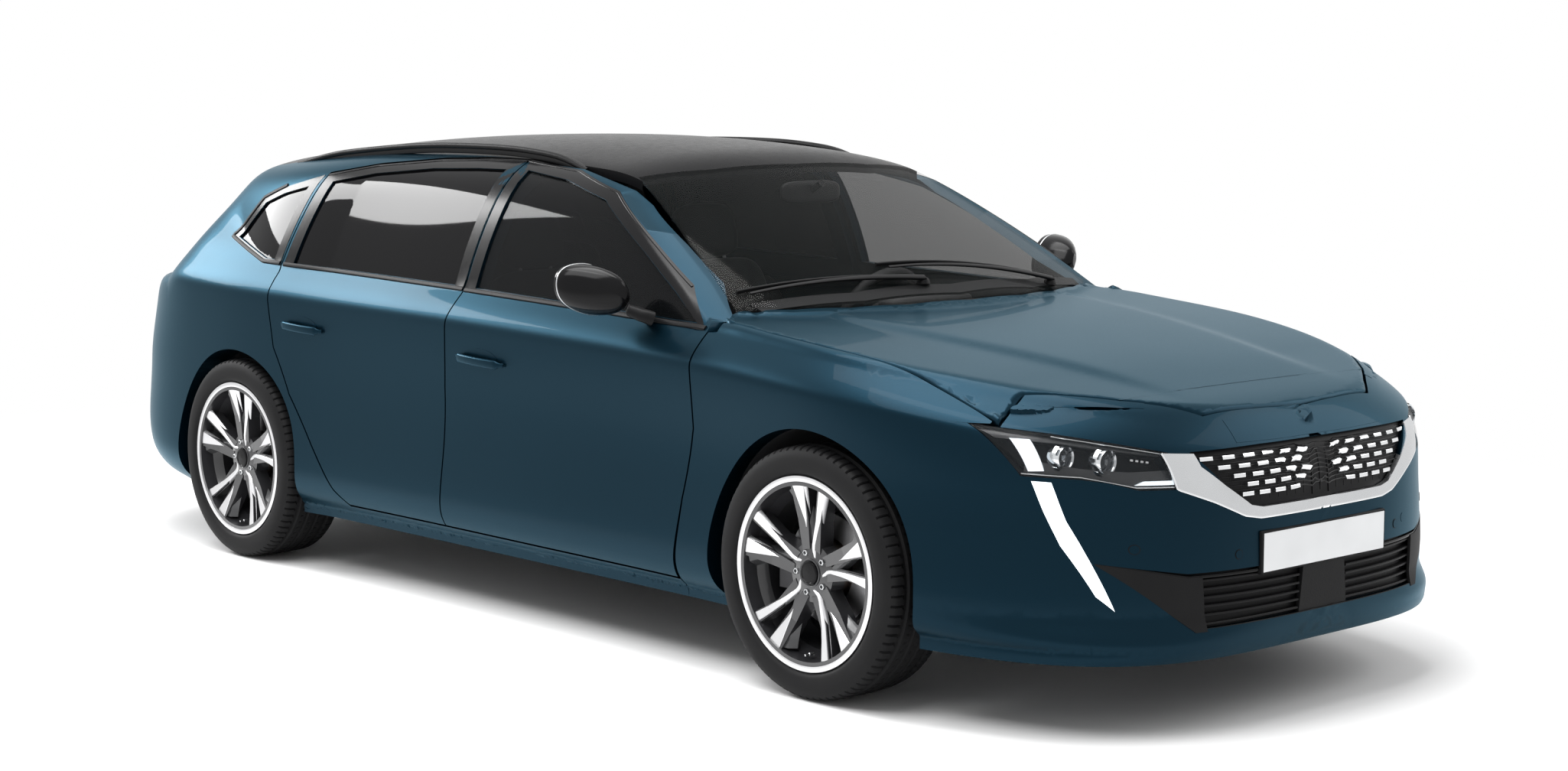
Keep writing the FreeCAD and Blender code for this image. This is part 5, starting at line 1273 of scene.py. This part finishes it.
class WAGON_OT_sides(Operator):
    """Fit the black window frames and mouldings, handles, mirrors and roof rails"""

    bl_idname = "wagon.sides"
    bl_label = "Side trim"

    def execute(self, context):
        for label, sign in SIDES:
            project = side_points[sign]
            bodies = {end: "%s_door_%s" % (end, label) for end in ("front", "rear")}
            bodies["quarter"] = "body"
            for name, (frame_line, light_line) in WINDOWS.items():
                make("window_frame_%s_%s" % (name, label), "gloss_black",
                     [patch(project, frame_line, light_line, 4, 10, (0.0012, -0.005), wrap=True)],
                     bodies[name])
            for kind, finish, lift, profile, level, count, spans in MOULDINGS:
                for name, (start, end) in spans.items():
                    line = WINDOWS[name][0][start:end] + [0, lift]
                    make("%s_%s_%s" % (kind, name, label), finish,
                         [strip(project, line, bar_profile(*profile), level, count)], bodies[name])
            self.mirror(label, sign)
            for end, sizes in DOOR_HANDLES.items():
                for name, part in zip(("handle", "handle_dish"), handle_parts(project, *sizes)):
                    make("%s_%s_%s" % (name, end, label), "paint", [part], bodies[end])
        self.rails()
        return {"FINISHED"}

    def mirror(self, label, sign):
        looks = {"shell": ("gloss_black", "black_trim", ["mirror_" + label]),
                 "glass": ("reflector", None, ()),
                 "line": ("satin_chrome", None, ()), "arm": ("satin_black", "black_trim", ())}
        for name, part in mirror_parts().items():
            finish, slot, replaced = looks[name]
            make("mirror_%s_%s" % (name, label), finish, [part if sign > 0 else flipped(part)],
                 "front_door_" + label, replaced)

    def rails(self):
        """Roof rails: an oval bar along the CAD rail's own line, its foot a thinner blade down to the
        roof."""
        line = fit(softened(RAIL_LINE), 90)
        bars = []
        for label, sign in SIDES:
            path = np.column_stack([np.full(len(line), sign * ROOF_EDGE), line[:, 0], line[:, 1] - 0.0095])
            bars += [sweep(path, bar_profile(0.024, 0.018, 0.45, 5), (0, 0, 1.0)),
                     sweep(path - [0, 0, 0.013], bar_profile(0.012, 0.022), (0, 0, 1.0))]
        make("rail_bars", "satin_black", bars, replaces=["roof_rails"])


class WAGON_OT_details(Operator):
    """Add wipers, cowl, corner fills, tow cover, sensors, tips, valance and reflectors"""

    bl_idname = "wagon.details"
    bl_label = "Details"

    def execute(self, context):
        self.wipers()
        self.nose_details()
        self.cowl()
        self.sensors()
        self.rear()
        return {"FINISHED"}

    def wipers(self):
        """Two wipers lie along the screen's foot, over the cowl: an arm that tapers, its boss and a blade."""
        arms, rubbers = [], []
        for x0, y0, x1, y1 in ((0.46, -1.035, -0.18, -0.985), (-0.10, -1.050, -0.66, -0.930)):
            foot = top_points(fit([(x0, y0), (x1, y1)], 30))
            out = unit(slope(foot))
            arms.append(sweep(foot + out * 0.016, bar_profile(0.018, 0.008, 0.4), out,
                              scale=np.linspace(1.2, 0.5, 30)))
            arms.append(turned([(0.0, 0.0004), (0.0, 0.020), (0.012, 0.018), (0.018, 0.012), (0.019, 0.0004)],
                               foot[0] + [0, 0, -0.004], "z", 24))
            blade = top_points(fit([(x0 - 0.06, y0 + 0.028), (x1 - 0.02, y1 + 0.030)], 40))
            out = unit(slope(blade))
            rubbers.append(sweep(blade + out * 0.006, bar_profile(0.008, 0.012, 0.4), out))
        make("wiper_arms", "satin_black", arms)
        make("wiper_blades", "grained_black", rubbers)

    def nose_details(self):
        """Paint closes the corners and the middle between hood and bumper, and a cover hides the tow eye."""
        corners = twins(top_points, [(0.478, -2.183), (0.530, -2.150), (0.605, -2.090), (0.690, -2.012),
                                     (0.735, -1.990)],
                        [(0.4625, -2.1706), (0.5145, -2.1303), (0.598, -2.0495), (0.6790, -1.9710),
                         (0.735, -1.9780)], 8, 8, (0.0006, -0.003))
        top = [(-0.30, 0.768), (-0.15, 0.771), (0.0, 0.772), (0.15, 0.771), (0.30, 0.768)]
        low = [(-0.30, 0.716), (-0.15, 0.714), (0.0, 0.714), (0.15, 0.714), (0.30, 0.716)]
        corners.append(patch(nose_points, top, low, 10, 8, (0.0006, -0.003)))
        make("hood_corner_fills", "paint", corners)
        rim, middle = [circle(0.38, 0.455, radius) for radius in (0.0125, 0.0005)]
        make("tow_cover", "paint", [patch(nose_points, rim, middle, 3, 1, (0.0006, -0.003), wrap=True)])

    def cowl(self):
        """A grained strip fills the space between the hood's rear edge and the screen."""
        front = whole([(0.66, -0.985), (0.35, -1.070)])
        back = whole([(0.67, -0.945), (0.36, -1.030)])
        front.insert(2, (0.0, -1.105))
        back.insert(2, (0.0, -1.065))
        make("cowl", "grained_black", [patch(top_points, front, back, 4, 8, (-0.004, -0.012))])

    def sensors(self):
        """Round parking sensors: a ring seam and a flat eye, in paint, on both bumpers."""
        seams, eyes = [], []
        for project, places in ((nose_points, ((0.600, 0.475), (0.330, 0.445))),
                                (tail_points, ((0.640, 0.480), (0.250, 0.470)))):
            for x, z in places:
                for label, sign in SIDES:
                    outer, edge, middle = [circle(sign * x, z, radius) for radius in (0.0125, 0.0108, 0.0005)]
                    seams.append(patch(project, outer, edge, 2, 1, (0.0006, -0.002), wrap=True))
                    eyes.append(patch(project, edge, middle, 3, 1, (0.0014, -0.002), wrap=True))
        make("sensor_seams", "satin_black", seams)
        make("sensor_eyes", "paint", eyes)

    def rear(self):
        """The rear bumper's grained lower panel, two oval tips and two reflectors."""
        low = patch(tail_points, whole([(0.66, 0.36), (0.40, 0.40)]), whole([(0.62, 0.21), (0.40, 0.20)]), 10,
                    12,
                    (0.0012, -0.006))
        make("rear_valance", "grained_black", [low])
        tips = []
        for label, sign in SIDES:
            x, y, z = tail_points([(sign * 0.50, 0.285)], 0.002)[0]
            tips.append(patch(tail_points, circle(x, z, 0.070, 0.030, 40), circle(x, z, 0.058, 0.021, 40), 3,
                              1,
                              (0.0040, -0.030), wrap=True))
        make("exhaust_trims", "chrome", tips)
        make("rear_reflectors", "red_lens", twins(tail_points, [(0.58, 0.445), (0.72, 0.450)],
                                                  [(0.58, 0.425), (0.72, 0.430)], 3, 10, (0.0014, -0.004)))


# Cabin.
def cushion(size, centre, tilt=0.0, seams=(), crown=0.45, rows=36, columns=64):
    """A stuffed pad as a closed superellipsoid, place = half size * cos(u)^crown cos(v)^crown and its sines,
    whose face pulls in at each sewn channel by 0.007 exp(-((x - seam) / 0.007)^2), leaned back about X."""
    half = np.asarray(size, float) / 2
    u = np.linspace(-np.pi / 2, np.pi / 2, rows)[:, None]
    v = np.linspace(0, 2 * np.pi, columns, endpoint=False)[None]

    def power(wave, share):
        return np.sign(wave) * np.abs(wave) ** share

    thin = 2 if half[1] > half[2] else 1
    ring = power(np.cos(u), crown)
    points = np.stack([half[0] * ring * power(np.cos(v), crown)] * 3, -1)
    points[..., thin] = half[thin] * power(np.sin(u), crown + 0.15)
    points[..., 3 - thin] = half[3 - thin] * ring * power(np.sin(v), crown)
    pull = sum((np.exp(-((points[..., 0] - seam) / 0.007) ** 2) for seam in seams), np.zeros(1)) * 0.007
    points[..., thin] -= np.sign(points[..., thin]) * np.minimum(pull, np.abs(points[..., thin]))
    points = points.reshape(-1, 3) @ rotation((1, 0, 0), tilt).T + np.asarray(centre, float)
    return points, [grid_faces(rows, columns, wrap_columns=True)] + caps(rows, columns)


def pad(name, finish, *sizes, **more):
    """A seat pad: a cushion made as one welded mesh."""
    make(name, finish, [cushion(*sizes, **more)], weld=True)


def leaned(pivot, offset, tilt):
    """A place measured along a leaned back rest from its pivot."""
    return np.asarray(pivot) + rotation((1, 0, 0), tilt) @ np.asarray(offset, float)


class WAGON_OT_cabin(Operator):
    """Stuff and seam the seats and fit the dash, headliner and inner mirror"""

    bl_idname = "wagon.cabin"
    bl_label = "Cabin"

    def execute(self, context):
        for label, sign in SIDES:
            self.front_seat(label, sign)
        self.bench()
        self.dash()
        make("headliner", "headliner", [patch(top_points, [(-0.44, -0.20), (0.44, -0.20)],
                                              [(-0.46, 1.50), (0.46, 1.50)], 24, 14, (-0.036, -0.044))])
        return {"FINISHED"}

    def front_seat(self, label, sign):
        x, low, front, tilt = sign * 0.3718, 0.3408, -0.2628, -18
        pivot = (x, front + 0.50, low + 0.10)
        make("seat_base_" + label, "satin_black",
             [block((x - 0.17, front + 0.05, 0.216), (x + 0.17, front + 0.45, low + 0.02), 0.012)],
             replaces=["front_seats"] if sign > 0 else ())
        pad("seat_cushion_" + label, "seat", (0.40, 0.52, 0.135), (x, front + 0.262, low + 0.078),
            seams=(-0.11, 0.11), crown=0.35)
        pad("seat_back_" + label, "seat", (0.40, 0.125, 0.62), leaned(pivot, (0, 0, 0.27), tilt), tilt,
            (-0.10, 0.10), 0.35)
        for end, shift in (("inner", -sign * 0.205), ("outer", sign * 0.205)):
            more = {"crown": 0.55, "rows": 24, "columns": 36}
            pad("seat_bolster_%s_%s" % (end, label), "seat_leather", (0.085, 0.50, 0.150),
                (x + shift, front + 0.255, low + 0.080), **more)
            pad("seat_wing_%s_%s" % (end, label), "seat_leather", (0.085, 0.120, 0.52),
                leaned(pivot, (shift, -0.004, 0.25), tilt), tilt, **more)
        pad("headrest_" + label, "seat_leather", (0.245, 0.095, 0.185), leaned(pivot, (0, 0, 0.682), tilt),
            tilt,
            crown=0.5, rows=28, columns=40)
        make("headrest_rods_" + label, "satin_chrome",
             [sweep([leaned(pivot, (shift, 0, up), tilt) for up in (0.55, 0.66)],
                    circle(0, 0, 0.006, count=10),
                    (1.0, 0, 0)) for shift in (-0.06, 0.06)])

    def bench(self):
        low, front, tilt = 0.3408, 0.645, -20
        pivot = (0, front + 0.3375, low + 0.0875)
        make("bench_base", "satin_black", [block((-0.515, front + 0.08, 0.216),
                                                 (0.515, front + 0.29, low + 0.02),
                                                 0.01)], replaces=["rear_bench"])
        pad("bench_cushion", "seat", (1.13, 0.375, 0.140), (0, front + 0.19, low + 0.075),
            seams=(-0.44, -0.19, 0.19, 0.44), crown=0.22, columns=120)
        pad("bench_back", "seat", (0.955, 0.105, 0.60), leaned(pivot, (0, 0, 0.325), tilt), tilt,
            (-0.38, -0.17, 0.17, 0.38), 0.22, columns=120)
        for label, x in (("left", 0.317), ("middle", 0.0), ("right", -0.317)):
            pad("bench_headrest_" + label, "seat_leather", (0.245, 0.085, 0.130),
                leaned(pivot, (x, 0, 0.678), tilt), tilt, crown=0.5, rows=28, columns=40)

    def dash(self):
        """An instrument hood, the centre screen, vents and the inner mirror."""
        make("instrument_hood", "dash_skin", [cushion((0.36, 0.11, 0.065), (0.372, -0.600, 0.912),
                                                      crown=0.5)],
             weld=True)
        make("centre_screen", "roof_black", [block((-0.135, -0.560, 0.800), (0.135, -0.552, 0.905), 0.003)])
        make("dash_vents", "satin_chrome", [block((x - 0.05, -0.5685, z), (x + 0.05, -0.560, z + 0.004))
                                            for x in (-0.50, -0.10, 0.10, 0.54)
                                            for z in (0.752, 0.762, 0.772, 0.782)])
        head = cushion((0.24, 0.030, 0.070), (0, -0.470, 1.262), crown=0.5, rows=20, columns=40)
        stalk = sweep([(0, -0.480, 1.27), (0, -0.520, 1.292)], circle(0, 0, 0.012, count=10), (1.0, 0, 0))
        make("inner_mirror", "satin_black", [head, stalk], weld=True)


NODE_FINISHES = {
    "paint": "hood tailgate tailgate_spoiler front_bumper rear_bumper body_side_* wing_* front_door_* "
             "rear_door_*",
    "roof_black": "roof_panel", "satin_black": "upper_grille lower_grille roof_rails",
                 "gloss_black": "mirror_*",
    "grained_black": "plate_carrier", "clear_glass": "windscreen", "side_glass": "front_door_glass_*",
    "dark_glass": "tailgate_glass quarter_glasses rear_door_glass_*", "lamp_glass": "headlamps",
    "glow": "running_light_blades", "red_lens": "tailgate_lamps corner_lamps", "cast": "knuckle_*",
    "chassis": "front_suspension rear_suspension", "under": "floorpan", "engine": "engine_block",
    "dash_skin": "dashboard steering_wheel", "seat": "front_seats rear_bench",
                 "tyre": "tyre_front_* tyre_rear_*",
    "alloy_black": "rim_front_* rim_rear_*", "disc": "disc_front_* disc_rear_*",
}


class WAGON_OT_nodes(Operator):
    """Give every CAD node its finish, in its own material slots"""

    bl_idname = "wagon.nodes"
    bl_label = "Finishes of the CAD nodes"

    def execute(self, context):
        for finish, names in NODE_FINISHES.items():
            for name in names.split():
                for node in sorted({name.replace("*", label) for label, sign in SIDES}):
                    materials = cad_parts[node].data.materials
                    materials.clear()
                    materials.append(finishes[finish])
        return {"FINISHED"}


class WAGON_OT_stage(Operator):
    """Set the floor, the soft lamps, the world and the photograph's camera"""

    bl_idname = "wagon.stage"
    bl_label = "Studio"

    def execute(self, context):
        scene = context.scene
        scene.view_settings.view_transform = "Standard"
        self.floor(scene)
        self.world(scene)
        for name, place, size, power in (
                ("key lamp", (-3.5, -1.0, 6.5), 5.0, 430), ("fill lamp", (5.5, -5.0, 5.0), 5.0, 200),
                ("top lamp", (0.0, 0.5, 7.5), 5.0, 480), ("back lamp", (-3.2, 8.5, 5.0), 3.0, 520)):
            data = bpy.data.lights.new(name, "AREA")
            data.size = size
            data.energy = power
            aim = Vector((0, 0, 0.5)) - Vector(place)
            self.stand(scene, name, data, place, aim.to_track_quat("-Z", "Y").to_euler())
        data = bpy.data.cameras.new("photo camera")
        data.sensor_width = 36.0
        data.lens = 60.566
        scene.camera = self.stand(scene, "photo camera", data, (-5.4872, -6.3284, 1.62793),
                                  (math.radians(90 - 6.8032), 0, math.radians(-42.5594)))
        return {"FINISHED"}

    def stand(self, scene, name, data, place, turn):
        thing = bpy.data.objects.new(name, data)
        scene.collection.objects.link(thing)
        thing.location = place
        thing.rotation_euler = turn
        return thing

    def floor(self, scene):
        """A pale floor that fades to white with the distance from the car."""
        reach = 40.0
        mesh = bpy.data.meshes.new("studio_floor")
        mesh.from_pydata([(-reach, -reach, 0), (reach, -reach, 0), (reach, reach, 0), (-reach, reach, 0)], [],
                         [(0, 1, 2, 3)])
        floor = bpy.data.objects.new("studio_floor", mesh)
        scene.collection.objects.link(floor)
        finish = Finish("studio floor", Base_Color=tuple(scene.wagon_look.floor_colour), Roughness=0.6,
                        Specular_IOR_Level=0.1)
        x, y, z = finish.axes()
        away = (x * x + y * y * 0.6) ** 0.5
        white = finish.node("Emission", Color=(1, 1, 1, 1), Strength=1.0)
        self.mix(finish.tree, away.step(1.8, 4.2), finish.surface.outputs[0], white.outputs[0],
                 "Material Output")
        mesh.materials.append(finish.material)

    def world(self, scene):
        """White where it is seen or mirrored, and dimmer as a light."""
        scene.world = bpy.data.worlds.new("studio")
        scene.world.use_nodes = True
        tree = scene.world.node_tree
        light = tree.nodes["Background"]
        seen = tree.nodes.new("ShaderNodeBackground")
        for node, strength in ((light, 0.55), (seen, 1.0)):
            wire(tree, node.inputs["Color"], (1, 1, 1, 1))
            wire(tree, node.inputs["Strength"], strength)
        path = tree.nodes.new("ShaderNodeLightPath").outputs
        rays = Value(tree, path["Is Camera Ray"])
        for kind in ("Is Glossy Ray", "Is Transmission Ray"):
            rays = rays.maths("MAXIMUM", path[kind])
        self.mix(tree, rays, light.outputs[0], seen.outputs[0], "World Output")

    def mix(self, tree, factor, first, second, output):
        """Two shaders mixed by a factor into the tree's output."""
        mixer = tree.nodes.new("ShaderNodeMixShader")
        for socket, value in zip(mixer.inputs, (factor, first, second)):
            wire(tree, socket, value)
        wire(tree, tree.nodes[output].inputs["Surface"], mixer.outputs[0])


class WAGON_PT_sidebar(Panel):
    """Lists the wagon's looks and the operators that dress it"""

    bl_idname = "WAGON_PT_sidebar"
    bl_label = "Station wagon"
    bl_space_type = "VIEW_3D"
    bl_region_type = "UI"
    bl_category = "Wagon"

    def draw(self, context):
        look = context.scene.wagon_look
        for key in WagonLook.__annotations__:
            self.layout.prop(look, key)
        for operator in OPERATORS:
            self.layout.operator(operator.bl_idname)


OPERATORS = (WAGON_OT_nodes, WAGON_OT_panels, WAGON_OT_glass, WAGON_OT_wheels, WAGON_OT_nose, WAGON_OT_lamps,
             WAGON_OT_sides, WAGON_OT_details, WAGON_OT_cabin, WAGON_OT_stage)
CLASSES = (WagonLook,) + OPERATORS + (WAGON_PT_sidebar,)


def register():
    for kind in CLASSES:
        bpy.utils.register_class(kind)
    bpy.types.Scene.wagon_look = PointerProperty(type=WagonLook)


def unregister():
    del bpy.types.Scene.wagon_look
    for kind in reversed(CLASSES):
        bpy.utils.unregister_class(kind)


def main():
    register()
    for operator in OPERATORS:
        group, name = operator.bl_idname.split(".")
        getattr(getattr(bpy.ops, group), name)()


if __name__ == "__main__":
    main()
